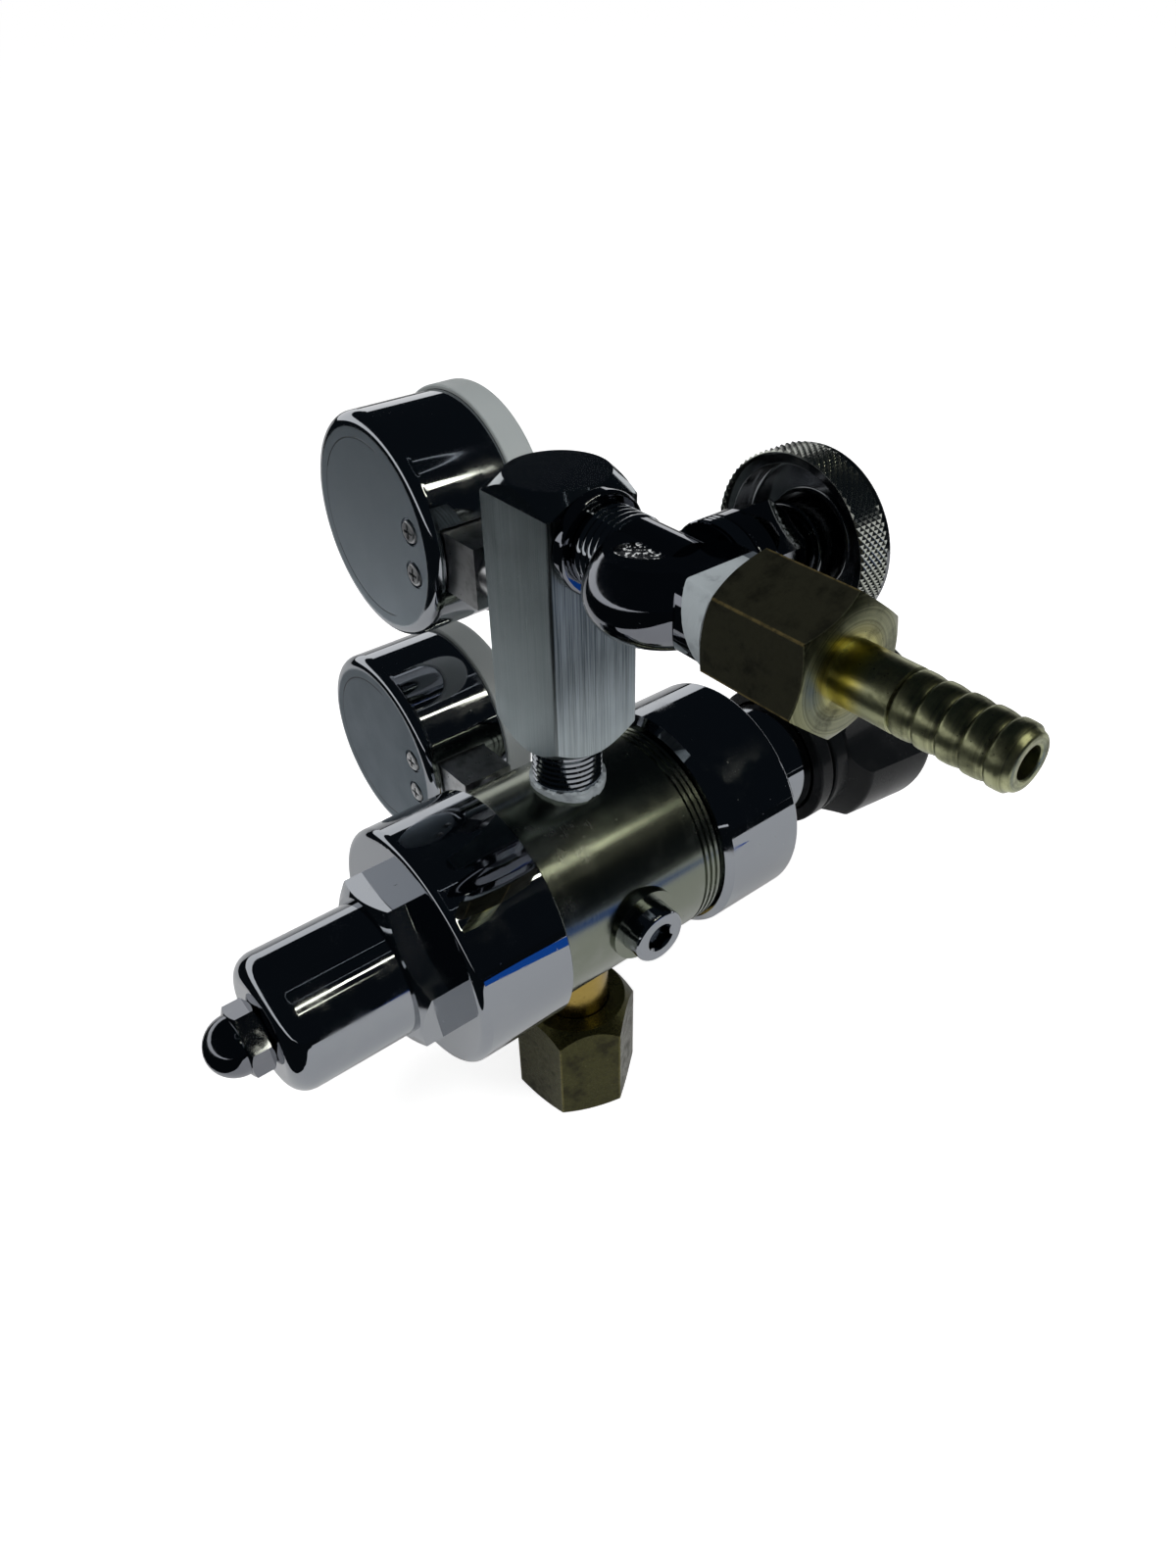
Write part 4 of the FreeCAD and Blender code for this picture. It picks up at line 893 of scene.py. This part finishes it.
@dataclass
class TapeWrap:
    """Thread tape wound round a joint, with a torn, creased edge."""

    name: str
    axis: Axis
    centre: Point
    radius: float
    start: float
    end: float
    thick: float = 0.35 * MM
    ragged: float = 0.5 * MM
    flare: float = 0.0
    crease: float = 0.4 * MM
    crease_size: float = 1.6 * MM
    ragged_size: float = 0.9 * MM
    rows: int = 6
    steps: int = 144
    cuts: tuple[tuple[Point, Point], ...] = ()

    def build(self) -> bpy.types.Object:
        """Band with displaced faces and edges, in its place."""
        outer = self.radius + self.thick
        step = (self.end - self.start) / self.rows
        profile = [(self.radius, self.end), (self.radius, self.start)]
        profile += [
            (outer + self.flare * row / self.rows, self.start + step * row)
            for row in range(self.rows + 1)]
        piece = Bench.turned(self.name, profile, self.steps)
        for size, strength, direction in (
                (self.crease_size, self.crease, "NORMAL"),
                (self.ragged_size, self.ragged, "Z")):
            cloud = bpy.data.textures.new(self.name + direction, "CLOUDS")
            cloud.noise_scale = size
            cloud.noise_depth = 2
            wrinkle = piece.modifiers.new("wrinkle", "DISPLACE")
            wrinkle.texture = cloud
            wrinkle.texture_coords = "LOCAL"
            wrinkle.direction = direction
            wrinkle.strength = strength
            wrinkle.mid_level = 0.5
        Bench.apply(piece)
        Bench.settle(piece, self.axis.turn(), self.centre)
        for spot, outwards in self.cuts:
            self.trim(piece, spot, outwards)
        return Bench.outward(piece, smooth=70)

    @staticmethod
    def trim(piece: bpy.types.Object, spot: Point, outwards: Point) -> None:
        """Cuts off what lies beyond a plane and closes the cut.

        Args:
            piece: The band.
            spot: A point of the plane.
            outwards: Direction of the side that goes.
        """
        with Bench.editing(piece):
            bpy.ops.mesh.bisect(
                plane_co=spot, plane_no=outwards, use_fill=True, clear_outer=True)


@dataclass
class HoseRidges:
    """The hose barb with its saw-tooth ridges: the CAD fitting up to its shank's end."""

    name: str
    centre_z: float
    start: float = 84.5 * MM
    first: float = 84.75 * MM
    pitch: float = 4.05 * MM
    count: int = 5
    crest: float = 5.45 * MM
    valley: float = 4.92 * MM
    tip: float = 4.55 * MM
    tip_length: float = 1.2 * MM
    bore: float = 2.7 * MM
    end: float = 105.05 * MM
    ridge: tuple[tuple[float, float], ...] = (
        (0.0, 0.0), (0.05, 0.35), (0.09, 0.75), (0.14, 0.94), (0.22, 1.0), (0.45, 0.99),
        (0.65, 0.85), (0.82, 0.6), (0.94, 0.28))

    def profile(self) -> list[tuple[float, float]]:
        """Section of the ridged end as (radius, distance along the barb), round and closed."""
        corners = [(self.bore, self.start), (self.crest, self.start)]
        for index in range(self.count):
            for along, rise in self.ridge:
                place = self.first + (index + along) * self.pitch
                if place < self.end - self.tip_length:
                    corners.append((self.valley + (self.crest - self.valley) * rise, place))
        return corners + [
            (self.tip + 0.38 * MM, self.end - 1.0 * MM),
            (self.tip + 0.1 * MM, self.end - 0.3 * MM),
            (self.tip - 0.15 * MM, self.end - 0.06 * MM),
            (self.tip - 0.5 * MM, self.end),
            (self.bore + 0.3 * MM, self.end),
            (self.bore, self.end - 0.25 * MM)]

    def build(self, fitting: bpy.types.Object) -> bpy.types.Object:
        """Copies the CAD fitting, cuts its end off and sets the ridges there.

        Args:
            fitting: The CAD node.
        """
        ridges = Bench.turned(self.name + "_end", self.profile())
        Bench.outward(ridges, smooth=50)
        Bench.settle(ridges, Matrix.Rotation(math.pi / 2, 4, "X"), (0.0, 0.0, self.centre_z))
        shank = Bench.copied(fitting, self.name + "_shank")
        Bench.outward(shank)
        with Bench.editing(shank):
            bpy.ops.mesh.bisect(
                plane_co=(0, -self.start, 0), plane_no=(0, -1, 0), clear_outer=True)
            bpy.ops.mesh.bridge_edge_loops()
        Bench.outward(shank, smooth=30)
        return Bench.joined(self.name, [shank, ridges])


@dataclass
class DiamondKnurl:
    """Sleeve of small pyramids pressed into the handwheel's rim."""

    name: str
    centre: Point
    radius: float
    width: float
    around: int = 72
    rows: int = 5
    tall: float = 0.45 * MM
    wall: float = 0.15 * MM

    def build(self) -> bpy.types.Object:
        """Grid turned into diamonds, each raised to a point, with a thin wall behind."""
        Bench.clear()
        bpy.ops.mesh.primitive_cylinder_add(
            vertices=self.around, radius=self.radius, depth=self.width,
            end_fill_type="NOTHING", location=(0, 0, self.width / 2))
        piece = Bench.named(self.name)
        bpy.ops.object.transform_apply()
        self.choose(piece, lambda low, high: abs(low.z - high.z) > self.width / 2)
        bpy.ops.mesh.subdivide_edgering(number_cuts=self.rows - 1, interpolation="LINEAR")
        bpy.ops.mesh.select_all(action="SELECT")
        bpy.ops.mesh.poke(offset=0.0)
        bpy.ops.object.mode_set(mode="OBJECT")
        corner = self.radius * (1 + math.cos(math.pi / self.around)) / 2
        self.choose(piece, lambda low, high: (
            min(low.xy.length, high.xy.length) > corner
            and 1e-6 < (low.z + high.z) / 2 < self.width - 1e-6))
        bpy.ops.mesh.dissolve_edges(use_verts=False)
        bpy.ops.mesh.select_all(action="SELECT")
        bpy.ops.mesh.poke(offset=self.tall)
        bpy.ops.object.mode_set(mode="OBJECT")
        Bench.outward(piece)
        shell = piece.modifiers.new("shell", "SOLIDIFY")
        shell.thickness = self.wall
        shell.offset = -1.0
        Bench.apply(piece)
        return Bench.settle(piece, Axis.ALONG_X.turn(), self.centre)

    @staticmethod
    def choose(piece: bpy.types.Object, wanted: Callable[[Vector, Vector], bool]) -> None:
        """Selects the edges whose two ends pass a test, and stays in edit mode.

        Args:
            piece: The mesh.
            wanted: Test of an edge's two ends.
        """
        bpy.ops.object.mode_set(mode="EDIT")
        bpy.ops.mesh.select_mode(type="EDGE")
        bpy.ops.mesh.select_all(action="DESELECT")
        bpy.ops.object.mode_set(mode="OBJECT")
        points = piece.data.vertices
        for edge in piece.data.edges:
            first, second = edge.vertices
            edge.select = wanted(points[first].co, points[second].co)
        bpy.ops.object.mode_set(mode="EDIT")


@dataclass
class Dial:
    """Printed scale of a gauge: ticks and plain numbers."""

    name: str
    centre: Point
    face: float
    numbers: tuple[str, ...]
    ticks_between: int = 10
    sweep: float = 270.0
    reach: float = 20.5 * MM
    number_reach: float = 14.9 * MM
    height: float = 3.6 * MM
    ink: float = 0.05 * MM
    long_tick: tuple[float, float] = (2.6 * MM, 0.34 * MM)
    middle_tick: tuple[float, float] = (1.9 * MM, 0.16 * MM)
    short_tick: tuple[float, float] = (1.2 * MM, 0.16 * MM)
    zero: float = 225.0

    def spot(self, angle: float, reach: float) -> tuple[float, float]:
        """Place on the dial, with 0 at the bottom left and growing clockwise as it is read."""
        turned = math.radians(self.zero - angle)
        return reach * math.cos(turned), reach * math.sin(turned)

    def tick(self, angle: float, length: float, width: float) -> bpy.types.Object:
        """One printed line that points to the centre."""
        x, y = self.spot(angle, self.reach - length / 2)
        bpy.ops.mesh.primitive_cube_add(size=1, location=(x, y, self.ink / 2))
        line = bpy.context.object
        line.scale = (length, width, self.ink)
        line.rotation_euler = (0, 0, math.radians(self.zero - angle))
        bpy.ops.object.transform_apply()
        return line

    def number(self, text: str, angle: float) -> bpy.types.Object:
        """One number, upright on the dial."""
        x, y = self.spot(angle, self.number_reach)
        bpy.ops.object.text_add(location=(x, y, 0))
        label = bpy.context.object
        label.data.body = text
        label.data.size = self.height
        label.data.align_x = "CENTER"
        label.data.align_y = "CENTER"
        label.data.extrude = self.ink / 2
        bpy.ops.object.convert(target="MESH")
        Bench.settle(bpy.context.object, Matrix.Identity(4), (0, 0, self.ink / 2))
        return bpy.context.object

    def build(self) -> bpy.types.Object:
        """All the print of one dial as one piece, in its place."""
        Bench.clear()
        steps = len(self.numbers) - 1
        count = steps * self.ticks_between
        parts = []
        for index in range(count + 1):
            angle = self.sweep * index / count
            place = index % self.ticks_between
            size = {0: self.long_tick, self.ticks_between // 2: self.middle_tick}.get(
                place, self.short_tick)
            parts.append(self.tick(angle, *size))
        for index, text in enumerate(self.numbers):
            parts.append(self.number(text, self.sweep * index / steps))
        piece = Bench.joined(self.name, parts)
        facing = Matrix(((0, 0, 1, 0), (1, 0, 0, 0), (0, 1, 0, 0), (0, 0, 0, 1)))
        y, z = self.centre[1], self.centre[2]
        return Bench.settle(piece, facing, (self.face, y, z))


class Finish(Enum):
    """Finishes of the CAD pieces."""

    CHROME = "chrome"
    PAINTED_SHADE = "painted_shade"
    BODY = "body"
    WHEEL = "wheel"
    KNURL = "knurl"
    NICKEL = "nickel"
    STEEL = "steel"
    PLATED = "plated"
    SPRING = "spring"
    DIAPHRAGM = "diaphragm"
    BARB = "barb"
    NUT = "nut"
    NIPPLE = "nipple"
    SINTERED = "sintered"
    PLASTIC = "plastic"
    BEZEL = "bezel"
    PANE = "pane"
    CARD = "card"
    POINTER = "pointer"
    TOP_CASE = "top_case"
    BACK_CASE = "back_case"


def in_both(owners: tuple[str, str], *pieces: str) -> tuple[str, ...]:
    """Node names of pieces that two owners have alike.

    Args:
        owners: What the names start with.
        pieces: What they end with.
    """
    return tuple(f"{owner}_{piece}" for owner in owners for piece in pieces)


STAGES = ("preset", "adjusting")
GAUGES = ("top_gauge", "back_gauge")
NODE_FINISHES: dict[Finish, tuple[str, ...]] = {
    Finish.CHROME: ("port_plug", "handwheel_nut", *in_both(STAGES, "bonnet")),
    # Painted shade: these pieces take a darker copy of the chrome plate.
    Finish.PAINTED_SHADE: ("acorn_nut", "valve_collar", "valve_body", "valve_bonnet", "valve_gland"),
    Finish.WHEEL: ("handwheel",),
    Finish.BODY: ("main_body",),
    Finish.NICKEL: ("gauge_block",),
    Finish.STEEL: (
        "valve_spindle", "valve_needle",
        *in_both(STAGES, "plate", "screw", "poppet", "spring_button")),
    Finish.PLATED: (
        "block_nipple", *in_both(STAGES, "slip_ring"),
        *in_both(GAUGES, "screw_upper", "screw_lower", "stem")),
    Finish.SPRING: in_both(STAGES, "spring", "poppet_spring"),
    Finish.DIAPHRAGM: in_both(STAGES, "diaphragm"),
    Finish.BARB: ("hose_barb",),
    Finish.NUT: ("inlet_nut",),
    Finish.NIPPLE: (
        "inlet_nipple", *in_both(STAGES, "nozzle"), *in_both(GAUGES, "sector", "tube")),
    Finish.SINTERED: ("inlet_filter",),
    Finish.PLASTIC: ("adjusting_knob", "adjusting_knob_cap"),
    Finish.BEZEL: in_both(GAUGES, "bezel"),
    Finish.PANE: in_both(GAUGES, "window"),
    Finish.CARD: in_both(GAUGES, "dial"),
    Finish.POINTER: in_both(GAUGES, "pointer"),
    Finish.TOP_CASE: ("top_gauge_case",),
    Finish.BACK_CASE: ("back_gauge_case",),
}


def middle_of(node: str) -> Vector:
    """Centre of a CAD node's box."""
    low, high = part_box(node)
    return (Vector(low) + Vector(high)) / 2


@dataclass
class Gauge:
    """Where a gauge's pieces stand, read from the frame."""

    name: str
    numbers: tuple[str, ...]
    satin: Rgb
    body: str = "regulator"
    middle: Point = field(init=False)
    back: float = field(init=False)
    dial_face: float = field(init=False)

    def __post_init__(self) -> None:
        """Reads the case and the dial from the frame."""
        middle = middle_of(self.name + "_bezel")
        self.middle = (0.0, middle.y, middle.z)
        self.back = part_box(self.name + "_case")[0][0]
        self.dial_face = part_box(self.name + "_dial")[1][0]

    def case_finish(self) -> GaugeSteel:
        """Finish of the case, centred on it."""
        return GaugeSteel(self.name + "_steel", self.middle, self.back, self.satin)

    def print_dial(self, ink: bpy.types.Material) -> None:
        """Adds the printed scale."""
        dial = Dial(self.name + "_scale", self.middle, self.dial_face, self.numbers)
        Bench.dress(dial.build(), ink, self.body, "pointer_black")


def mirrored_only(piece: bpy.types.Object, color: Rgb, strength: float) -> None:
    """Makes a stage piece that shows in the chrome and nowhere else.

    Args:
        piece: The flag, card or lamp face.
        color: Colour that the chrome shows.
        strength: Its brightness.
    """
    material = bpy.data.materials.new(piece.name)
    nodes = Nodes(material)
    nodes.end("ShaderNodeOutputMaterial", nodes.node(
        "ShaderNodeEmission", {}, {"Color": color, "Strength": strength}))
    piece.data.materials.append(material)
    piece.visible_camera = False
    piece.visible_diffuse = False
    piece.visible_shadow = False
    piece.visible_transmission = False


@dataclass(frozen=True)
class Panel:
    """Level rounded panel that only the chrome mirrors: a card, or a lamp shaped as a loop."""

    name: str
    place: Point
    size: tuple[float, float]
    color: Rgb
    strength: float
    corner_share: float = 0.45
    segments: int = 10
    tube: float | None = None

    def build(self) -> None:
        """Adds the panel, with its middle taken out where it has a tube's width."""
        Bench.clear()
        bpy.ops.mesh.primitive_plane_add(size=1.0)
        panel = Bench.named(self.name)
        panel.scale = (*self.size, 1)
        bpy.ops.object.transform_apply()
        with Bench.editing(panel):
            bpy.ops.mesh.bevel(
                offset=min(self.size) * self.corner_share, segments=self.segments,
                affect="VERTICES")
            if self.tube is not None:
                bpy.ops.mesh.select_all(action="SELECT")
                bpy.ops.mesh.inset(thickness=self.tube)
                bpy.ops.mesh.delete(type="FACE")
        Bench.settle(panel, Matrix.Identity(4), self.place)
        mirrored_only(panel, self.color, self.strength)


PANELS = (
    Panel("lamp_loop", place=(0.83, -1.84, 2.0), size=(1.28, 0.80), color=(1.0, 0.98, 0.78),
          strength=8.0, tube=0.13),
    Panel("lamp_frame", place=(0.60, -0.85, 2.4), size=(1.5, 0.9), color=(0.9, 0.95, 1.0),
          strength=1.2, tube=0.012),
    Panel("card_blue", place=(0.15, -0.43, 0.002), size=(0.11, 0.38),
          color=(0.02, 0.16, 0.75), strength=0.7, corner_share=0.2, segments=4),
)


@dataclass
class Studio:
    """Pale floor and backdrop, soft lamps, a dark tent that the chrome mirrors, the camera."""

    camera_place: Point = (-0.1219, -0.1627, 0.2563)
    camera_right: Point = (0.77852, -0.62740, -0.01666)
    camera_up: Point = (0.38935, 0.46197, 0.79687)
    focal_pixels: float = 1125.6
    picture_height: float = 1600.0
    sensor_height: float = 36.0
    floor_size: float = 16.0
    floor_color: Rgb = (0.80, 0.80, 0.80)
    floor_seen: float = 0.76
    floor_mirrored: float = 0.05
    world_light: float = 0.30
    lamp_target: Point = (0, 0, 0.1)
    tent_radius: float = 3.0
    tent_front: float = -1.0
    tent_back: float = 20.0
    tent_color: Rgb = (0.55, 0.75, 1.0)
    tent_glow: float = 0.012
    mat_hole: tuple[float, float] = (1.05, 3.25)
    mat_shift: tuple[float, float] = (0.385, 1.075)
    mat_height: float = 0.0006
    mat_spread: tuple[float, float] = (9.0, 5.0)
    mat_color: Rgb = (0.6, 0.8, 1.0)
    mat_glow: float = 0.010

    def add_camera(self) -> None:
        """Creates the camera that matches the photograph."""
        right = Vector(self.camera_right)
        up = Vector(self.camera_up)
        back = right.cross(up)
        view = Matrix((right, up, back)).transposed().to_4x4()
        data = bpy.data.cameras.new("camera")
        data.sensor_fit = "VERTICAL"
        data.sensor_height = self.sensor_height
        data.lens = self.sensor_height * self.focal_pixels / self.picture_height
        data.clip_start = 0.01
        camera = bpy.data.objects.new("camera", data)
        camera.matrix_world = Matrix.Translation(Vector(self.camera_place)) @ view
        bpy.context.scene.collection.objects.link(camera)
        bpy.context.scene.camera = camera

    def add_floor(self) -> None:
        """Floor that stays white in the picture and keeps the object's shadow."""
        Bench.clear()
        bpy.ops.mesh.primitive_grid_add(
            x_subdivisions=8, y_subdivisions=8, size=self.floor_size)
        floor = Bench.named("studio_floor")
        floor.data.materials.append(self.floor_material())

    def floor_material(self) -> bpy.types.Material:
        """Diffuse white with a lift for the rays that look at it."""
        material = bpy.data.materials.new("studio_white")
        nodes = Nodes(material)
        lift = nodes.seen_by("Camera") * self.floor_seen
        lift = lift + nodes.seen_by("Glossy", "Transmission") * self.floor_mirrored
        matte = nodes.node("ShaderNodeBsdfDiffuse", {}, {"Color": self.floor_color})
        glow = nodes.node("ShaderNodeEmission", {}, {"Strength": lift})
        nodes.end("ShaderNodeOutputMaterial", nodes.node(
            "ShaderNodeAddShader", {}, {0: matte, 1: glow}))
        return material

    def add_world(self) -> None:
        """White world for the rays that look at it, dim grey for the light it gives."""
        world = bpy.data.worlds.new("studio_world")
        bpy.context.scene.world = world
        nodes = Nodes(world)
        seen = nodes.seen_by("Camera", "Glossy", "Transmission")
        strength = seen * (1 - self.world_light) + self.world_light
        nodes.end("ShaderNodeOutputWorld", nodes.node(
            "ShaderNodeBackground", {}, {"Color": (1.0, 1.0, 1.0), "Strength": strength}))

    def add_tent(self) -> None:
        """Dark tent over the object, open at the bottom and higher at the back."""
        Bench.clear()
        bpy.ops.mesh.primitive_uv_sphere_add(segments=48, ring_count=32, radius=self.tent_radius)
        tent = Bench.named("flag_tent")
        middle = math.radians((self.tent_front + self.tent_back) / 2)
        tilt = math.radians((self.tent_back - self.tent_front) / 2)
        with Bench.editing(tent):
            bpy.ops.mesh.bisect(
                plane_co=(0, 0, self.tent_radius * math.sin(middle)),
                plane_no=(0, -math.sin(tilt), math.cos(tilt)), clear_inner=True)
        mirrored_only(tent, self.tent_color, self.tent_glow)

    def add_mat(self) -> None:
        """Dark mat on the floor, with a large rounded hole under the object and behind it."""
        Bench.clear()
        bpy.ops.mesh.primitive_plane_add(size=1.0)
        mat = Bench.named("flag_mat")
        with Bench.editing(mat):
            bpy.ops.transform.resize(value=(*self.mat_hole, 1), center_override=ORIGIN)
            bpy.ops.mesh.bevel(
                offset=self.mat_hole[0] * 0.3, segments=12, affect="VERTICES")
            bpy.ops.mesh.delete(type="ONLY_FACE")
            bpy.ops.mesh.select_all(action="SELECT")
            bpy.ops.transform.translate(value=(*self.mat_shift, self.mat_height))
            bpy.ops.mesh.extrude_edges_move(TRANSFORM_OT_translate={"value": ORIGIN})
            bpy.ops.transform.resize(
                value=(*self.mat_spread, 1), center_override=(*self.mat_shift, 0))
        mirrored_only(mat, self.mat_color, self.mat_glow)

    def add_lamp(self, name: str, place: Point, size: tuple[float, float],
                 power: float) -> None:
        """Adds a soft rectangular lamp that faces the object.

        Args:
            name: Name of the lamp.
            place: Where it stands.
            size: Width and height in metres.
            power: Watts.
        """
        data = bpy.data.lights.new(name, "AREA")
        data.shape = "RECTANGLE"
        data.size, data.size_y = size
        data.energy = power
        lamp = bpy.data.objects.new(name, data)
        aim = (Vector(self.lamp_target) - Vector(place)).to_track_quat("-Z", "Y")
        lamp.matrix_world = Matrix.Translation(Vector(place)) @ aim.to_matrix().to_4x4()
        lamp.visible_glossy = False
        bpy.context.scene.collection.objects.link(lamp)

    def build(self) -> None:
        """Sets up the whole studio."""
        bpy.context.scene.view_settings.view_transform = "Standard"
        self.add_camera()
        self.add_floor()
        self.add_world()
        self.add_tent()
        self.add_mat()
        for panel in PANELS:
            panel.build()
        self.add_lamp("lamp_key", place=(-0.5, -0.35, 1.1), size=(0.5, 0.22), power=7.0)
        self.add_lamp("lamp_fill", place=(0.9, -0.6, 0.7), size=(0.7, 0.7), power=4.0)


class Regulator:
    """The whole object: finishes for the CAD pieces and the added fine pieces."""

    def __init__(self, frame: dict[str, Any]) -> None:
        """Keeps the frame and reads the gauges and the valve.
        """
        self.nodes = frame["nodes"]
        self.top = Gauge("top_gauge", ("0", "4", "8", "12", "16"), satin=(0.42, 0.49, 0.55))
        self.back = Gauge(
            "back_gauge", ("0", "50", "100", "150", "200", "250"), satin=(0.125, 0.16, 0.19))
        self.stem = middle_of("valve_gland")
        self.outlet: Point = (0.0, 0.0, middle_of("hose_barb").z)
        self.finishes = self.make_finishes()

    def make_finishes(self) -> dict[Finish, bpy.types.Material]:
        """Builds every finish of the CAD pieces."""
        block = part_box("gauge_block")[1]
        recess = (-6.1 * MM, -31.9 * MM, self.outlet[2] + 6.8 * MM)
        return {
            finish: recipe.material() for finish, recipe in {
                Finish.CHROME: Chrome("chrome_plate"),
                # Painted shade: a darker copy of the chrome plate stands in for the darker
                # reflections on the valve and the acorn nut.
                Finish.PAINTED_SHADE: Chrome("painted_shade_chrome", color=(0.20, 0.21, 0.235), cast=recess),
                Finish.BODY: TurnedChrome("turned_chrome"),
                Finish.WHEEL: TurnedChrome(
                    "wheel_chrome", color=(0.18, 0.19, 0.20), gloss=0.10),
                Finish.KNURL: TurnedChrome(
                    "knurl_chrome", color=(0.52, 0.54, 0.49), gloss=0.13),
                Finish.NICKEL: GrainedNickel("grained_nickel", top=block[2], side=block[0]),
                Finish.STEEL: PlainMetal("machined_steel", (0.42, 0.42, 0.43)),
                Finish.PLATED: PlainMetal("plated_steel", (0.50, 0.51, 0.52), gloss=0.2),
                Finish.SPRING: PlainMetal("spring_wire", (0.30, 0.30, 0.31), gloss=0.3),
                Finish.DIAPHRAGM: PlainMetal(
                    "diaphragm_foil", (0.52, 0.53, 0.55), gloss=0.12),
                Finish.BARB: AgedBrass(
                    "barb_brass", ("X", "Z"), self.outlet, bright=(0.030, 0.030, 0.019),
                    brown=(0.006, 0.006, 0.004), polish=0.36, turned_from=-73.3 * MM,
                    metal=0.5, specular=0.15, corner=12.75 * MM),
                Finish.NUT: AgedBrass(
                    "nut_brass", ("X", "Y"), ORIGIN, bright=(0.060, 0.058, 0.020),
                    brown=(0.014, 0.012, 0.006), metal=0.9, specular=0.2,
                    corner=16.4 * MM, worn=(0.16, 0.145, 0.055)),
                Finish.NIPPLE: AgedBrass(
                    "nipple_brass", ("X", "Y"), ORIGIN, bright=(0.42, 0.30, 0.08),
                    tarnish=0.25, polish=0.2),
                Finish.SINTERED: Sintered("sintered_bronze"),
                Finish.PLASTIC: MouldedPlastic(
                    "black_plastic", (0.007, 0.008, 0.009), gloss=0.10, shine=0.13),
                Finish.BEZEL: MouldedPlastic(
                    "bezel_plastic", (0.36, 0.39, 0.39), gloss=0.35, shine=0.5),
                Finish.PANE: ClearPane("clear_pane"),
                Finish.CARD: Ink("dial_card", (0.82, 0.82, 0.80)),
                Finish.POINTER: Ink("pointer_black", (0.012, 0.012, 0.013), dull=0.35),
                Finish.TOP_CASE: self.top.case_finish(),
                Finish.BACK_CASE: self.back.case_finish(),
            }.items()}

    def dress_nodes(self) -> None:
        """Gives every CAD piece its finish."""
        for finish, names in NODE_FINISHES.items():
            for name in names:
                for slot in self.nodes[name].material_slots:
                    slot.material = self.finishes[finish]
                LOG.info("%s in %s", name, finish.value)

    def add_dials(self) -> None:
        """Prints both dials."""
        ink = Ink("scale_ink", (0.015, 0.015, 0.016)).material()
        self.top.print_dial(ink)
        self.back.print_dial(ink)

    def add_threads(self) -> None:
        """Cuts the threads that show: under the block, at both valve necks."""
        chrome = self.finishes[Finish.CHROME]
        low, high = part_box("block_nipple")
        nipple = ScrewThread(
            "block_nipple_thread", Axis.ALONG_Z, ORIGIN, crest=high[0], start=low[2],
            end=high[2], bore=2.5 * MM).build()
        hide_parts("block_nipple")
        Bench.dress(nipple, chrome, "regulator", "chrome")
        inlet = ScrewThread(
            "valve_inlet_thread", Axis.ALONG_Y, (0.0, 0.0, self.stem.z), crest=8.55 * MM,
            start=-24.0 * MM, end=-14.3 * MM, pitch=1.6 * MM).build()
        Bench.dress(inlet, chrome, "regulator", "chrome")
        bonnet = ScrewThread(
            "valve_bonnet_thread", Axis.ALONG_X, (0.0, self.stem.y, self.stem.z),
            crest=10.45 * MM, start=5.3 * MM, end=8.95 * MM, pitch=1.0 * MM,
            tooth=0.55 * MM).build()
        Bench.dress(bonnet, chrome, "regulator", "chrome")

    def add_tape(self) -> None:
        """Winds the white tape that shows on the valve's outlet and at the nipple's top."""
        z = self.stem.z
        outlet = TapeWrap(
            "outlet_tape", Axis.ALONG_Y, (0.0, 0.0, z), radius=10.33 * MM,
            start=-51.4 * MM, end=-43.6 * MM, thick=0.7 * MM, flare=-0.5 * MM,
            crease=0.2 * MM, cuts=(
                ((0.0, -47.3 * MM, z), (0.0, 1.0, -0.39)),
                ((0.0, 0.0, z + 7.25 * MM), (0.0, 0.0, 1.0)))).build()
        Bench.dress(outlet, Tape("outlet_tape", "Y").material(), "regulator", "dial_white")
        foot = TapeWrap(
            "nipple_tape", Axis.ALONG_Z, ORIGIN, radius=7.9 * MM, start=103.4 * MM,
            end=105.9 * MM, thick=0.9 * MM, ragged=1.5 * MM).build()
        Bench.dress(foot, Tape("nipple_tape", "Z").material(), "regulator", "dial_white")

    def add_ridges(self) -> None:
        """Gives the hose barb its saw-tooth ridges."""
        barb = HoseRidges("hose_barb_ridged", self.outlet[2]).build(self.nodes["hose_barb"])
        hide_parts("hose_barb")
        Bench.dress(barb, self.finishes[Finish.BARB], "regulator", "aged_brass")

    def add_springs(self) -> None:
        """Replaces each regulating spring with a smooth-shaded copy in the spring finish."""
        for node, joint, travel in (
                ("adjusting_spring", "knob_advance", 5.0 * MM),
                ("preset_spring", "preset_valve_slide", 0.7 * MM)):
            coil = Bench.copied(self.nodes[node], node + "_coil")
            Bench.outward(coil, smooth=50)
            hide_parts(node)
            Bench.dress(coil, self.finishes[Finish.SPRING], "regulator", "spring_steel")
            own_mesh(coil)

    def add_knurl(self) -> None:
        """Presses the diamond knurl into the handwheel's rim."""
        low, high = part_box("handwheel")
        middle = middle_of("handwheel")
        start = low[0] + 0.25 * MM
        knurl = DiamondKnurl(
            "handwheel_knurl", (start, middle.y, middle.z),
            radius=(high[1] - low[1]) / 2 + 0.02 * MM, width=6.9 * MM).build()
        Bench.dress(knurl, self.finishes[Finish.KNURL], "handwheel", "chrome")

    def build(self) -> None:
        """Dresses the frame and adds the fine pieces."""
        self.dress_nodes()
        self.add_dials()
        self.add_threads()
        self.add_tape()
        self.add_ridges()
        self.add_springs()
        self.add_knurl()


def main() -> None:
    """Builds the regulator and its studio."""
    logging.basicConfig(level=logging.INFO, format="%(message)s")
    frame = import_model()
    Regulator(frame).build()
    Studio().build()


if __name__ == "__main__":
    main()
